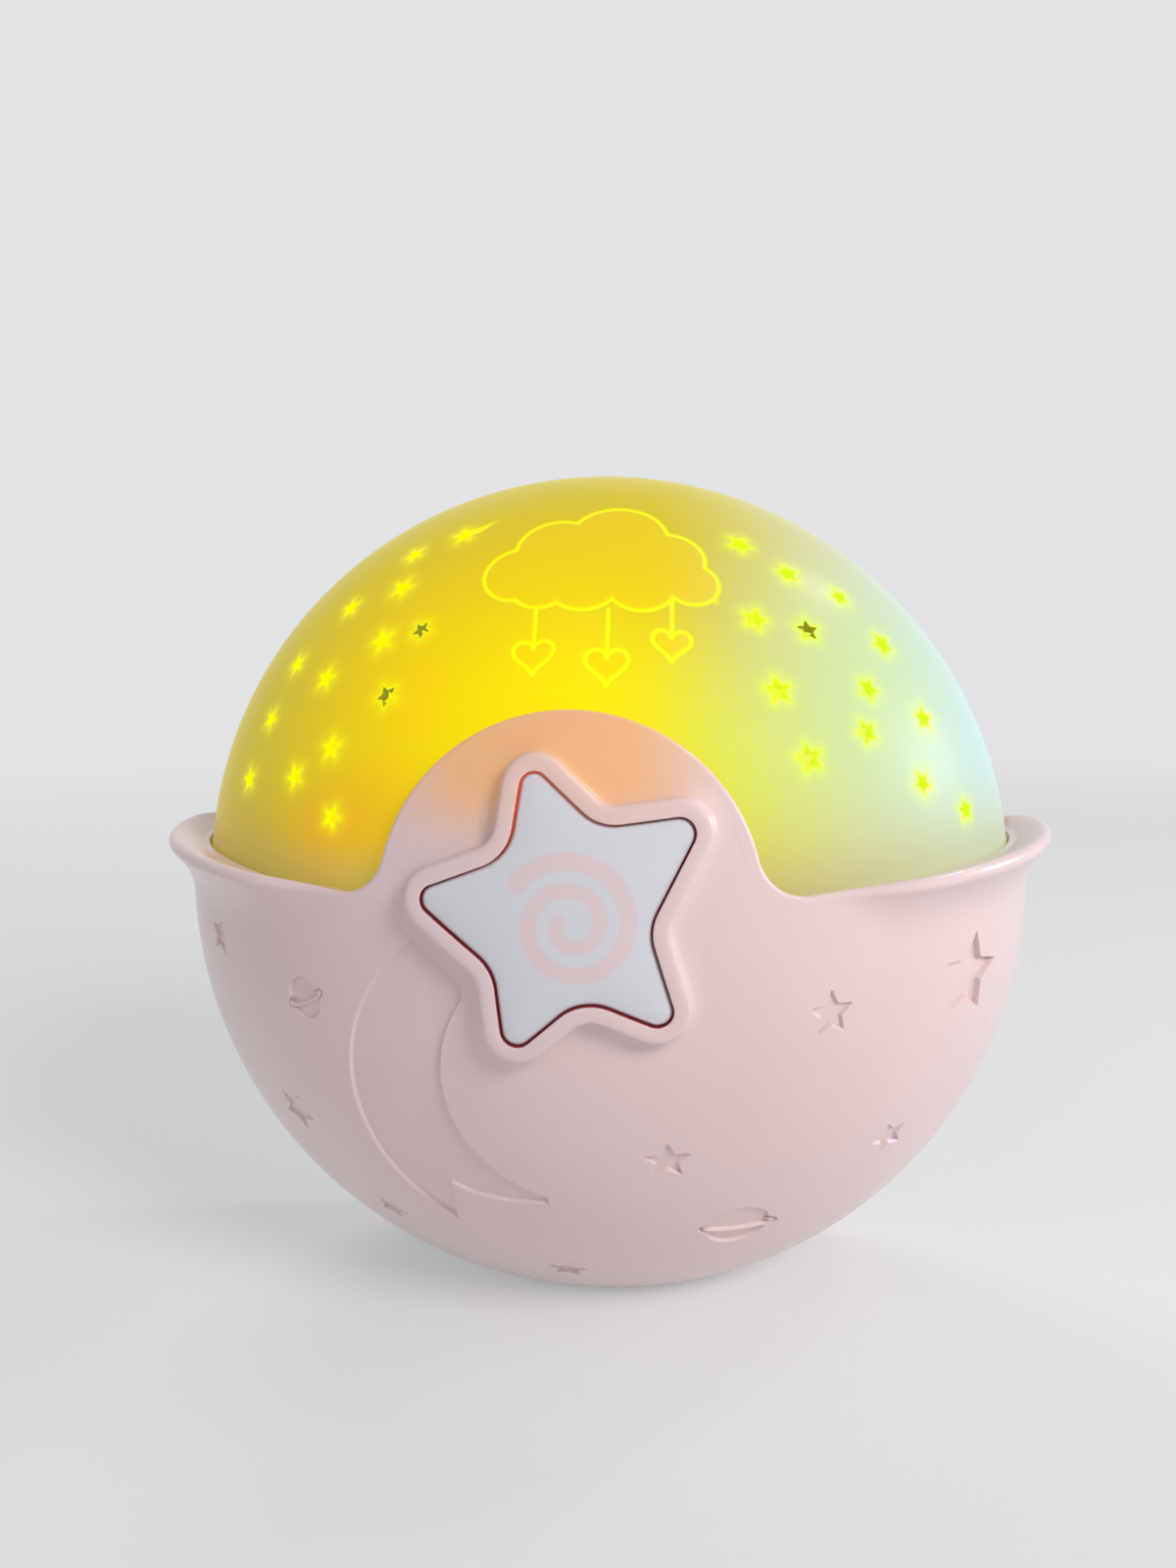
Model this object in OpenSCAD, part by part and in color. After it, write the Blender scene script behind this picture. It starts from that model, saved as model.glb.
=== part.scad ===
// Bedside star projector: a pink bowl with a rolled lip holds a translucent lamp dome.
// +Z is up, +X is the viewer's right and -Y faces the viewer. Millimetres.
// The origin is on the underside of the foot pad, below the middle of the dome.

/* [Dome] */
// Radius of the lamp dome at its rear edge
dome_r = 100; // [98:0.5:102]
// Depth of the dome in front of that edge
dome_depth = 78; // [76:0.5:80]
// Radius of the dome's shoulder, where its front turns into its side
shoulder_r = 58; // [56:0.5:60]
// Wall thickness of the dome
dome_wall = 2; // [1.6:0.1:2.4]
// How far the dome runs down behind the pink bowl
dome_overlap = 5.5; // [5:0.1:6]
// Tip radius of a common star hole
hole_star_r = 2.3; // [2:0.1:3.2]

/* [Bowl] */
// How far the bowl's outer face stands outside the dome's
bowl_grow = 4; // [3.8:0.1:4.4]
// Gap between the dome and the bowl
bowl_gap = 0.8; // [0.6:0.1:1]
// Height of the bowl's rim beside the hump, above the middle of the dome
rim_h = 9.8; // [9:0.2:11]
// Rise of the rim towards the sides, in degrees
rim_tilt = 5.1; // [4:0.1:6]
// Radius of the hump round the star button
hump_r = 38.5; // [38:0.1:39.5]
// Radius of the hollow where the hump meets the rim
hump_fillet = 10; // [8:0.5:12]
// Reach of the rolled lip at its widest, from the middle of the dome
lip_reach = 109; // [108:0.5:110]
// Depth of the sunk moon, stars and planets
figure_depth = 0.8; // [0.5:0.1:1]
// Height of the dome's middle above the flat cut for the foot
foot_cut = 96; // [95:0.5:97]

/* [Back] */
// Plane where the bowl meets the back shell
joint_y = 6; // [5.5:0.1:6.5]
// Flat rear face
back_y = 14; // [13.8:0.1:14.4]
// Wall thickness of the back shell
back_wall = 2.4; // [2:0.1:2.6]
// Radius of the back shell's outer edge
back_edge_r = 5; // [4:0.5:5.5]

/* [Star button] */
// Height of the button's middle above the middle of the dome
star_h = 8.2; // [8:0.1:8.6]
// Gap all round the button
star_gap = 0.4; // [0.3:0.05:0.5]
// Width of the raised rim round the button
bezel_w = 3.4; // [3:0.1:3.6]
// How far the raised rim stands out of the bowl
bezel_rise = 3.4; // [3:0.1:4]
// Travel of the button
button_travel = 1.8; // [1.4:0.1:1.8]

/* [Sound and power] */
// Middle of the loudspeaker, across and up from the middle of the dome
speaker_at = [-58, -34];
// Radius of the loudspeaker
speaker_r = 20; // [19:0.5:20]
// Middle of the battery box, above the middle of the dome
battery_h = -36.5; // [-37:0.5:-36]
// Middle of the two slide knobs, across from the middle of the dome
knob_x = 57; // [56:0.5:58]
// Travel of a slide knob to each side of its middle
knob_travel = 3.5; // [3:0.1:3.5]

/* [Hidden] */

smooth = 160;
fine = 32;
reach = 3 * dome_r;
pad_proud = 0.8;
axis_h = foot_cut + pad_proud;

// Arcs of the dome's profile: a broad crown that runs smoothly into the shoulder
crown_r = (pow(dome_r - shoulder_r, 2) + pow(dome_depth, 2) - pow(shoulder_r, 2))
    / (2 * (dome_depth - shoulder_r));
crown_drop = crown_r - dome_depth;
shoulder_x = dome_r - shoulder_r;
shoulder_turn = atan2(crown_drop, shoulder_x);

// Middle of the hollow between hump and rim
fillet_h = rim_h + hump_fillet;
fillet_x = sqrt(pow(hump_r + hump_fillet, 2) - pow(fillet_h - star_h, 2));

// The rolled lip is an arc about its own middle, leaning with the rim
lip_x = 37;
lip_r = lip_reach - lip_x;
lip_bead = 2.4;
lip_lift = 0.4;

// Corners of the star button: across, up, and rounding radius, from the star's middle
star_corners = [
    [-7.6, 30.0, 3.0], [7.0, 16.6, 9], [27.6, 19.0, 3.2], [16.4, -2.6, 9], [22.8, -24.2, 3.2],
    [3.6, -15.8, 9], [-11.8, -29.4, 3.2], [-13.6, -10.6, 9], [-31.0, 3.2, 3.0], [-10.4, 11.0, 9]
];
bezel_grow = star_gap + bezel_w;
well_y = -66;
well_wall = 1.8;
button_skin = 1.8;
button_rise = bezel_rise - 0.5;
flange = 1.2;
frame_y = -58;
plunger_tip_y = -60.9;

// Star holes through the dome: bearing round the dome, tilt from straight ahead, size, turn
hole_stars = [
    [108, 52, 1, 10], [116, 53, 0.9, 30], [119, 47, 1.1, 50], [128, 50, 0.95, 5],
    [125, 41, 1.15, 20], [118, 39, 0.9, 40], [140, 50, 1, 15], [137, 43, 1.1, 60],
    [129, 34, 1.05, 30], [149, 48, 0.95, 45], [144, 35, 1.1, 0], [153, 38, 1.1, 25],
    [159, 47, 1.05, 10], [155, 30, 1, 50],
    [67, 51, 1.1, 40], [59, 50, 1.05, 12], [60, 41, 1.1, 55], [51, 53, 0.9, 20],
    [52, 44, 1.1, 5], [42, 51, 1.1, 33], [50, 35, 1.2, 10], [39, 44, 1, 48],
    [30, 49, 1.05, 0], [34, 40, 1.05, 25], [37, 32, 1.2, 15], [22, 44, 1, 36],
    [15, 50, 1, 8]
];
// Sunk stars on the bowl: bearing, tilt, tip radius, turn
sunk_stars = [
    [183, 45, 4.5, 12], [215, 42, 5.5, 40], [237, 44, 4, 8], [267, 44, 4.5, 30],
    [293, 25, 4.8, 8], [325, 44, 4.5, 50], [346, 27, 5, 12], [352, 45, 9.5, 8]
];
// Sunk planets: bearing, tilt, globe radius, turn
sunk_planets = [[193, 30, 3.8, -20], [298, 39, 5, 8]];

// Sunk moon: middles and radii of its two arcs, and the notch at its lower end
moon_outer = [-6.6, -31, 40.4];
moon_inner = [4, -27, 30.2];
moon_clip_x = -6;
moon_notch = [[-27, -54], [-22, -56.4], [-14, -57.4], [-6, -57], [0, -80], [-28, -80]];

// Housing screws and the posts that take them, across and up
housing_posts = [[-84, -20], [84, -20], [-46, -78], [46, -78]];
post_r = 4.2;
screw_bore = 1.3;
screw_r = 1.25;
seat_y = 9;

// Strap pockets beside the lamp chamber
strap_at = [60, 34];
strap_pocket = [19, 9, 34];
strap_bar = 5;

// Battery box
cell_r = 7.1;
cell_l = 49.2;
cell_pitch = 15.4;
cell_y = 3.9;
nub_l = 1.2;
box_half = [24.2, 28.2];
box_front_y = -4.2;
box_wall = 1.6;
door_half = [35, 32.6];
door_r = 5;
door_t = 2;
door_clear = 0.3;
door_screw_x = 30.4;
contact_t = 0.5;

// Main board and slide knobs
board_t = 1.6;
board_y = 2.6;
board_half = [18, 24];
board_h = -32;
knob_rows = [-22, -44];
knob_grip = [5, 7];
knob_flange = [20.4, 10.4, 1];
knob_stem = [3, 2];
knob_y = 9.9;
switch_top_y = 8.6;

// Lamp board, held leaning up behind the button
lamp_at = [0, -20, 26];
lamp_lean = 35;
lamp_table = [36, 30, 2];
lamp_pitch = 9.5;
lamp_r = 2.5;
bracket_x = 14;
bracket_h = lamp_at[2] + 14;

// Leads between the boards
lead_r = 0.7;

// Small screws: radius of the shank and of the head
small_shank = 0.85;
small_head = 2.2;

function polar(r, a) = r * [cos(a), sin(a)];
function unit(v) = v / norm(v);

// Places of springs and screws, across and up
spring_seats = [for (p = [[24, 15], [250, 15], [172, 15]]) [0, star_h] + polar(p[1], p[0])];
frame_posts = [for (p = [[68, 25.5], [212, 24], [283, 25.5]]) [0, star_h] + polar(p[1], p[0])];
speaker_posts = [for (a = [90, 225, 315]) speaker_at + polar(speaker_r + 2.6, a)];
board_posts = [
    for (x = [-1, 1], h = [-1, 1])
        [knob_x, board_h] + [x * (board_half[0] - 3), h * (board_half[1] - 3)]
];
bracket_posts = [for (x = [-bracket_x, bracket_x]) [x, bracket_h]];

// Corner i of a clockwise outline, moved so that both of its sides shift out by d
function moved_corner(c, i, d) =
    let (n = len(c), a = c[(i + n - 1) % n], b = c[i], e = c[(i + 1) % n],
         u = unit([b[0] - a[0], b[1] - a[1]]), v = unit([e[0] - b[0], e[1] - b[1]]),
         bend = u[0] * v[1] - u[1] * v[0], side = bend < 0 ? 1 : -1,
         out = unit(u - v), half = sqrt((1 + u * v) / 2))
    [b[0] + side * d / half * out[0], b[1] + side * d / half * out[1], b[2] + side * d];

// Points of an outline with each corner rounded by the radius in its third place
function rounded(c, steps) = [
    for (i = [0 : len(c) - 1])
        let (n = len(c), a = c[(i + n - 1) % n], b = c[i], e = c[(i + 1) % n],
             p = [b[0], b[1]], u = unit([a[0], a[1]] - p), v = unit([e[0], e[1]] - p),
             half = acos(u * v) / 2, m = p + unit(u + v) * b[2] / sin(half),
             s = p + u * b[2] / tan(half) - m, t = p + v * b[2] / tan(half) - m,
             from = atan2(s[1], s[0]), sweep = atan2(s[0] * t[1] - s[1] * t[0], s * t))
        for (k = [0 : steps]) m + polar(b[2], from + sweep * k / steps)
];

// Closed tube along a line of points
function tube_frame(p, i) =
    let (n = len(p), t = unit(p[min(i + 1, n - 1)] - p[max(i - 1, 0)]),
         side = abs(t[2]) < 0.9 ? unit(cross(t, [0, 0, 1])) : unit(cross(t, [0, 1, 0])))
    [side, cross(t, side)];
module tube(p, r, sides = 8) {
    rings = len(p);
    points = [
        for (i = [0 : rings - 1]) let (f = tube_frame(p, i))
            for (k = [0 : sides - 1])
                p[i] + r * (f[0] * cos(360 * k / sides) + f[1] * sin(360 * k / sides))
    ];
    walls = [
        for (i = [0 : rings - 2]) for (k = [0 : sides - 1])
            let (a = i * sides + k, b = i * sides + (k + 1) % sides)
            each [[a, b, b + sides], [a, b + sides, a + sides]]
    ];
    first = [for (k = [1 : sides - 2]) [0, k + 1, k]];
    last = [for (k = [1 : sides - 2]) [0, k, k + 1] + (rings - 1) * sides * [1, 1, 1]];
    polyhedron(points, concat(walls, first, last));
}

// Open coil along +Z, from z = 0, with its wire ends laid in the end planes
module coil(r, wire_r, turns, length) {
    curl = 8;
    steps = curl * turns;
    tube([
        for (i = [0 : steps])
            let (a = 360 * i / curl, z = wire_r + (length - 2 * wire_r) * i / steps)
            [r * cos(a), r * sin(a), z]
    ], wire_r, 6);
}

// Turns a flat shape drawn across and up into a solid from the front plane to the rear plane
module along_y(front, rear) {
    translate([0, rear, axis_h]) rotate([90, 0, 0]) linear_extrude(rear - front) children();
}
// A cylinder along Y
module rod(at, r, front, rear, n = fine) {
    along_y(front, rear) translate(at) circle(r, $fn = n);
}

// Profile of the dome, grown outwards, with a straight skirt behind its middle plane
module cap_profile(grow, skirt) {
    slope = polar(reach, shoulder_turn);
    intersection() {
        translate([0, -crown_drop]) circle(crown_r + grow, $fn = smooth);
        polygon([[0, 0], [shoulder_x, 0], [shoulder_x, 0] + slope, [0, reach]]);
    }
    intersection() {
        translate([shoulder_x, 0]) circle(shoulder_r + grow, $fn = smooth);
        polygon([[shoulder_x, 0], [shoulder_x + reach, 0], [shoulder_x, 0] + slope]);
    }
    if (skirt > 0) translate([0, -skirt]) square([dome_r + grow, skirt]);
}
module cap(grow, skirt) {
    translate([0, 0, axis_h]) rotate([90, 0, 0])
        rotate_extrude($fn = smooth) cap_profile(grow, skirt);
}

// Sets children on the dome's face, grown outwards, with their Z axis straight out of it
module on_face(bearing, tilt, grow) {
    on_shoulder = tilt > 90 - shoulder_turn;
    translate([0, 0, axis_h]) rotate([90, 0, 0]) rotate([0, 0, bearing])
        translate(on_shoulder ? [shoulder_x, 0, 0] : [0, 0, -crown_drop])
            rotate([0, tilt, 0])
                translate([0, 0, grow + (on_shoulder ? shoulder_r : crown_r)])
                    rotate([0, 0, -bearing]) children();
}

// Area below the rim, seen from the front, drawn in by an inset
function rim_line(inset) =
    let (from = atan2(fillet_h - star_h, fillet_x), fillet_steps = 12, hump_steps = 40)
    concat(
        [for (k = [0 : fillet_steps]) [fillet_x, fillet_h]
            + polar(hump_fillet + inset, 270 - (90 - from) * k / fillet_steps)],
        [for (k = [1 : hump_steps]) [0, star_h]
            + polar(hump_r - inset, from + (180 - 2 * from) * k / hump_steps)],
        [for (k = [1 : fillet_steps]) [-fillet_x, fillet_h]
            + polar(hump_fillet + inset, -from - (90 - from) * k / fillet_steps)]
    );
module rim_area(inset) {
    side_h = rim_h - inset + (reach - fillet_x) * tan(rim_tilt);
    polygon(concat(
        [[-reach, side_h], [-reach, -reach], [reach, -reach], [reach, side_h]],
        rim_line(inset)
    ));
}

module star_shape(r) {
    polygon([for (i = [0 : 9]) polar(i % 2 == 0 ? r : 0.48 * r, 90 + 36 * i)]);
}
module button_outline(grow) {
    moved = [for (i = [0 : len(star_corners) - 1]) moved_corner(star_corners, i, grow)];
    translate([0, star_h]) polygon(rounded(moved, 6));
}
module box_outline(half, r) {
    polygon(rounded([
        [half[0], half[1], r], [-half[0], half[1], r], [-half[0], -half[1], r],
        [half[0], -half[1], r]
    ], 6));
}

// The rolled lip of the right side
module side_lip() {
    foot = 14;
    hollow_r = 8.2;
    translate([lip_x, 0, axis_h + rim_h + lip_lift + (lip_x - fillet_x) * tan(rim_tilt)])
        rotate([0, -rim_tilt, 0]) rotate([0, 0, -79]) rotate_extrude(angle = 86, $fn = smooth) {
            difference() {
                polygon([
                    [lip_r - 12, -foot], [lip_r - 4.4, -foot], [lip_r, -2 * lip_bead - 1],
                    [lip_r, -lip_bead], [lip_r - lip_bead, 0], [lip_r - 12, 0]
                ]);
                translate([lip_r + 4, -foot + lip_bead])
                    circle(hollow_r, $fn = smooth);
                translate([lip_r - lip_bead, -lip_bead]) difference() {
                    translate([0, -lip_bead]) square([lip_bead + 1, 2 * lip_bead + 1]);
                    circle(lip_bead, $fn = fine);
                    translate([-1, -lip_bead - 1]) square([1 + lip_bead, lip_bead]);
                }
            }
            translate([lip_r - lip_bead, -lip_bead]) circle(lip_bead, $fn = fine);
        }
}

module moon_shape() {
    difference() {
        translate([moon_outer[0], moon_outer[1]]) circle(moon_outer[2], $fn = smooth);
        translate([moon_inner[0], moon_inner[1]]) circle(moon_inner[2], $fn = smooth);
        polygon(moon_notch);
        translate([moon_clip_x, -reach / 2]) square(reach);
        button_outline(bezel_grow + 1.5);
    }
}
module planet_shape(r) {
    circle(r, $fn = fine);
    difference() {
        polygon([for (a = [0 : 12 : 348]) [1.9 * r * cos(a), 0.55 * r * sin(a)]]);
        polygon([for (a = [0 : 12 : 348]) [1.55 * r * cos(a), 0.3 * r * sin(a)]]);
    }
}
module figures() {
    intersection() {
        along_y(-reach, -10) moon_shape();
        difference() {
            cap(bowl_grow + 2, 0);
            cap(bowl_grow - figure_depth, 1);
        }
    }
    for (s = sunk_stars) on_face(s[0], s[1], bowl_grow - figure_depth)
        rotate([0, 0, s[3]]) linear_extrude(4) star_shape(s[2]);
    for (p = sunk_planets) on_face(p[0], p[1], bowl_grow - figure_depth)
        rotate([0, 0, p[3]]) linear_extrude(4) planet_shape(p[2]);
}

module below_foot() {
    translate([-reach, -reach, -reach]) cube([2 * reach, 2 * reach, reach + pad_proud]);
}

module front_shell() {
    color([0.80, 0.66, 0.66]) {
        difference() {
            union() {
                intersection() {
                    cap(bowl_grow, joint_y);
                    along_y(-reach, joint_y) rim_area(0);
                }
                intersection() {
                    union() {
                        side_lip();
                        mirror([1, 0, 0]) side_lip();
                    }
                    along_y(-reach, joint_y) square(2 * reach, center = true);
                }
                intersection() {
                    cap(bowl_grow + bezel_rise, 0);
                    along_y(-reach, well_y) button_outline(bezel_grow);
                }
            }
            difference() {
                cap(bowl_gap, joint_y + 1);
                translate([-reach, -reach, 0])
                    cube([2 * reach, 2 * reach, pad_proud + bowl_grow - bowl_gap]);
                along_y(-reach, well_y) button_outline(well_wall);
            }
            below_foot();
            along_y(-reach, well_y + 1) button_outline(0);
            foot_block(0.15, 1.2);
            figures();
        }
        for (p = housing_posts) difference() {
            intersection() {
                rod(p, post_r, -reach, joint_y - 0.1);
                cap(bowl_gap + 0.5, joint_y);
            }
            intersection() {
                rod(p, post_r + 1, -reach, -8);
                cap(-14, 0);
            }
            rod(p, screw_bore, -7, joint_y + 1);
        }
        for (p = frame_posts) difference() {
            intersection() {
                rod(p, 2.6, -reach, frame_y);
                cap(bowl_gap + 0.5, 0);
            }
            rod(p, 1.05, frame_y - 7, frame_y + 1);
        }
    }
}

module dome_cover() {
    color([0.97, 0.88, 0.35, 0.85]) difference() {
        cap(0, joint_y - 0.1);
        cap(-dome_wall, joint_y + 1);
        along_y(-reach, joint_y + 1) rim_area(dome_overlap);
        for (s = hole_stars) on_face(s[0], s[1], -2 * dome_wall)
            rotate([0, 0, s[3]]) linear_extrude(4 * dome_wall) star_shape(hole_star_r * s[2]);
    }
}

// Solid dish behind the joint plane, drawn in by an inset
module dish(radius, inset) {
    deep = back_y - inset;
    corner = back_edge_r - inset;
    translate([0, 0, axis_h]) rotate([90, 0, 0]) rotate_extrude($fn = smooth) {
        translate([0, -deep]) square([radius - inset - corner, deep - joint_y]);
        translate([0, corner - deep]) square([radius - inset, deep - corner - joint_y]);
        intersection() {
            translate([radius - inset - corner, corner - deep]) circle(corner, $fn = smooth);
            translate([0, -deep]) square([radius, deep - joint_y]);
        }
    }
}
module back_form(inset) {
    dish(dome_r, inset);
    intersection() {
        dish(dome_r + bowl_grow, inset);
        along_y(-reach, back_y) rim_area(inset);
    }
}
module ring(r_out, r_in, front, rear) {
    along_y(front, rear) difference() {
        circle(r_out, $fn = smooth);
        circle(r_in, $fn = smooth);
    }
}
module at_battery() { translate([0, 0, battery_h]) children(); }

module back_shell() {
    box_in = [2 * box_half[0], 2 * box_half[1]];
    flange_half = door_half + [2, 2];
    color([0.80, 0.66, 0.66]) difference() {
        union() {
            difference() {
                back_form(0);
                back_form(back_wall);
                below_foot();
            }
            intersection() {
                ring(dome_r - dome_wall - 0.4, dome_r - dome_wall - 2.4, joint_y - 3, back_y - 1);
                along_y(-reach, reach) translate([0, reach / 2 + 18]) square(reach, center = true);
            }
            intersection() {
                back_form(0.1);
                translate([-reach, 0, pad_proud]) cube([2 * reach, reach, back_wall]);
            }
            at_battery() {
                along_y(box_front_y - box_wall, back_y - 1)
                    square(box_in + 2 * [box_wall, box_wall], center = true);
                along_y(back_y - door_t - 3.4, back_y - 1) box_outline(flange_half, door_r + 2);
                for (s = [-1, 1]) rod([s * door_screw_x, 0], 3.6, -1, back_y - 3);
            }
            for (p = housing_posts) rod(p, post_r, joint_y, back_y - 1);
            for (s = [-1, 1]) along_y(back_y - strap_pocket[1] - 1.8, back_y - 1)
                translate([s * strap_at[0], strap_at[1]])
                    box_outline([strap_pocket[0], strap_pocket[2]] / 2 + [1.8, 1.8], 3.8);
            for (p = speaker_posts) rod(p, 2.2, 9.3, back_y - 1);
            for (p = board_posts) rod(p, 2.4, board_y + board_t, back_y - 1);
            for (p = bracket_posts) rod(p, 3, 9.8, back_y - 1);
        }
        at_battery() {
            along_y(box_front_y, reach) square(box_in, center = true);
            along_y(back_y - door_t - 0.1, reach)
                box_outline(door_half + door_clear * [1, 1], door_r + door_clear);
            for (s = [-1, 1]) rod([s * door_screw_x, 0], screw_bore, 1, back_y);
        }
        for (p = housing_posts) {
            rod(p, 1.7, joint_y - 1, seat_y + 1);
            rod(p, 3.1, seat_y, reach);
        }
        for (s = [-1, 1]) translate([s * strap_at[0], 0, strap_at[1]]) difference() {
            along_y(back_y - strap_pocket[1], reach)
                box_outline([strap_pocket[0], strap_pocket[2]] / 2, 2);
            along_y(back_y - 3, back_y) square([strap_bar, 2 * strap_pocket[2]], center = true);
        }
        for (r = [0 : 3]) for (k = [0 : max(0, 6 * r - 1)])
            rod(speaker_at + polar(4.4 * r, 360 * k / max(1, 6 * r)), 1.2, 9, reach, 16);
        for (p = speaker_posts) rod(p, small_shank + 0.05, 8, 12);
        for (p = board_posts) rod(p, small_shank + 0.05, 4, 10);
        for (p = bracket_posts) rod(p, 1.05, 9, 12.4);
        for (h = knob_rows) {
            along_y(9, reach) translate([knob_x, h])
                square(knob_grip + [2 * knob_travel + 0.6, 0.6], center = true);
            along_y(back_y - 1, reach) translate([knob_x, h]) box_outline([12, 6.4], 3);
        }
    }
}

module reflector_plate() {
    color([0.95, 0.95, 0.93]) along_y(8, 9.2) difference() {
        intersection() {
            circle(dome_r - dome_wall - 3.4, $fn = smooth);
            translate([0, reach / 2 + 19]) square(reach, center = true);
        }
        for (s = [-1, 1]) {
            translate([s * strap_at[0], strap_at[1]])
                box_outline([strap_pocket[0], strap_pocket[2]] / 2 + [2.3, 2.3], 4);
            translate([s * bracket_x, bracket_h]) circle(3.5, $fn = fine);
        }
        translate([0, bracket_h]) square([46, 12], center = true);
    }
}

module foot_block(clear, depth) {
    outline = [
        [-24, 3, 4], [24, 3, 4], [24, -11, 8], [13, -26, 5], [-13, -26, 5], [-24, -11, 8]
    ];
    moved = [for (i = [0 : len(outline) - 1]) moved_corner(outline, i, clear)];
    linear_extrude(pad_proud + depth) polygon(rounded(moved, 6));
}
module foot_pad() {
    color([0.35, 0.33, 0.34]) foot_block(0, 1.1);
}

module star_button() {
    color([0.84, 0.84, 0.90]) {
        difference() {
            intersection() {
                cap(bowl_grow + button_rise, 0);
                along_y(-reach, well_y + 1.4) button_outline(-star_gap);
            }
            intersection() {
                cap(bowl_grow + button_rise - button_skin, 0);
                along_y(-reach, well_y + 2) button_outline(-star_gap - button_skin);
            }
        }
        along_y(well_y + 0.05, well_y + 1.5) difference() {
            button_outline(flange);
            button_outline(-star_gap - 0.5);
        }
        for (p = spring_seats) intersection() {
            rod(p, 3.2, -reach, well_y - 0.5);
            cap(bowl_grow + button_rise - 1, 0);
        }
        intersection() {
            rod([0, star_h], 2.6, -reach, plunger_tip_y - button_travel + 0.2);
            cap(bowl_grow + button_rise - 1, 0);
        }
    }
}

module button_frame() {
    color([0.93, 0.93, 0.92]) along_y(frame_y, frame_y + 2) difference() {
        translate([0, star_h]) circle(30, $fn = smooth);
        translate([0, star_h]) square(9, center = true);
        for (p = frame_posts) translate(p) circle(1.4, $fn = fine);
    }
}
module button_springs() {
    color([0.75, 0.75, 0.77]) for (p = spring_seats)
        translate([p[0], frame_y, axis_h + p[1]]) rotate([90, 0, 0])
            coil(2.3, 0.3, 5, frame_y - well_y + 0.5);
}
module button_board() {
    color([0.16, 0.42, 0.25]) along_y(frame_y + 2, frame_y + 2 + board_t)
        translate([0, star_h]) box_outline([12, 9], 1.5);
}
module button_switch() {
    color([0.18, 0.18, 0.19]) difference() {
        along_y(frame_y - 1.5, frame_y + 2) translate([0, star_h]) box_outline([3, 3], 0.4);
        rod([0, star_h], 1.85, frame_y - 2, frame_y - 0.3);
    }
}
module switch_plunger() {
    color([0.85, 0.62, 0.25]) rod([0, star_h], 1.75, plunger_tip_y, frame_y - 0.6);
}
module frame_screws() {
    color([0.7, 0.7, 0.72]) for (p = frame_posts) {
        rod(p, 1, frame_y - 5, frame_y + 2.1);
        rod(p, small_head, frame_y + 2, frame_y + 3.4);
    }
}

// Sets children on the leaning lamp table, with Z out of its face
module at_lamps() {
    translate(lamp_at + [0, 0, axis_h]) rotate([90 - lamp_lean, 0, 0]) children();
}
module lamp_bracket() {
    color([0.93, 0.93, 0.92]) {
        difference() {
            union() {
                along_y(7.6, 9.7) translate([0, bracket_h]) box_outline([18.5, 5], 2);
                for (s = [-1, 1]) translate([s * 9 - 1.2, -15, axis_h + 22]) cube([2.4, 23, 20]);
            }
            for (p = bracket_posts) rod(p, 1.4, 7, 10);
            at_lamps() translate([-30, -30, -2]) cube([60, 60, 60]);
        }
        at_lamps() translate([-lamp_table[0] / 2, -lamp_table[1] / 2, -2 - lamp_table[2]])
            cube(lamp_table + [0, 0, 0.1]);
    }
}
module lamp_board() {
    color([0.95, 0.95, 0.95]) at_lamps() translate([0, 0, -1.9])
        linear_extrude(board_t) box_outline([16, 13], 2);
}
module lamp(i, tint) {
    color(tint) at_lamps() translate([i * lamp_pitch, 0, -0.25]) {
        cylinder(h = 1, r = lamp_r + 0.4, $fn = fine);
        cylinder(h = 6, r = lamp_r, $fn = fine);
        translate([0, 0, 6]) sphere(lamp_r, $fn = fine);
    }
}
module amber_lamp() { lamp(-1, [1, 0.7, 0.15]); }
module green_lamp() { lamp(0, [0.75, 1, 0.3]); }
module blue_lamp() { lamp(1, [0.6, 0.75, 1]); }
module bracket_screws() {
    color([0.7, 0.7, 0.72]) for (p = bracket_posts) {
        rod(p, 1, 6.2, 12);
        rod(p, small_head, 6.1, 7.5);
    }
}

module main_board() {
    color([0.16, 0.42, 0.25]) along_y(board_y, board_y + board_t) difference() {
        translate([knob_x, board_h]) box_outline(board_half, 2);
        for (p = board_posts) translate(p) circle(1.3, $fn = fine);
    }
}
module main_chip() {
    color([0.1, 0.1, 0.11]) along_y(board_y - 1.4, board_y)
        translate([knob_x - 4, board_h + 4]) square([9, 9], center = true);
}
module capacitor() {
    color([0.2, 0.25, 0.4]) rod([knob_x + 9, board_h - 8], 3, board_y - 8, board_y);
}
module slide_switch(h) {
    color([0.7, 0.7, 0.72]) difference() {
        along_y(board_y + board_t, switch_top_y) translate([knob_x, h])
            square([13, 6], center = true);
        along_y(switch_top_y - 2.2, reach) translate([knob_x, h])
            square(knob_stem + [2 * knob_travel + 0.6, 0.6], center = true);
    }
}
module mode_switch() { slide_switch(knob_rows[0]); }
module volume_switch() { slide_switch(knob_rows[1]); }
module slide_knob(h) {
    color([0.84, 0.84, 0.90]) {
        along_y(knob_y, knob_y + knob_flange[2]) translate([knob_x, h])
            square([knob_flange[0], knob_flange[1]], center = true);
        along_y(knob_y, back_y - 0.5) translate([knob_x, h]) square(knob_grip, center = true);
        along_y(switch_top_y - 1.8, knob_y + 0.1) translate([knob_x, h])
            square(knob_stem, center = true);
    }
}
module mode_knob() { slide_knob(knob_rows[0]); }
module volume_knob() { slide_knob(knob_rows[1]); }
module board_screws() {
    color([0.7, 0.7, 0.72]) for (p = board_posts) {
        rod(p, small_shank, board_y - 0.2, 9);
        rod(p, small_head, board_y - 1.5, board_y - 0.1);
    }
}

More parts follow.
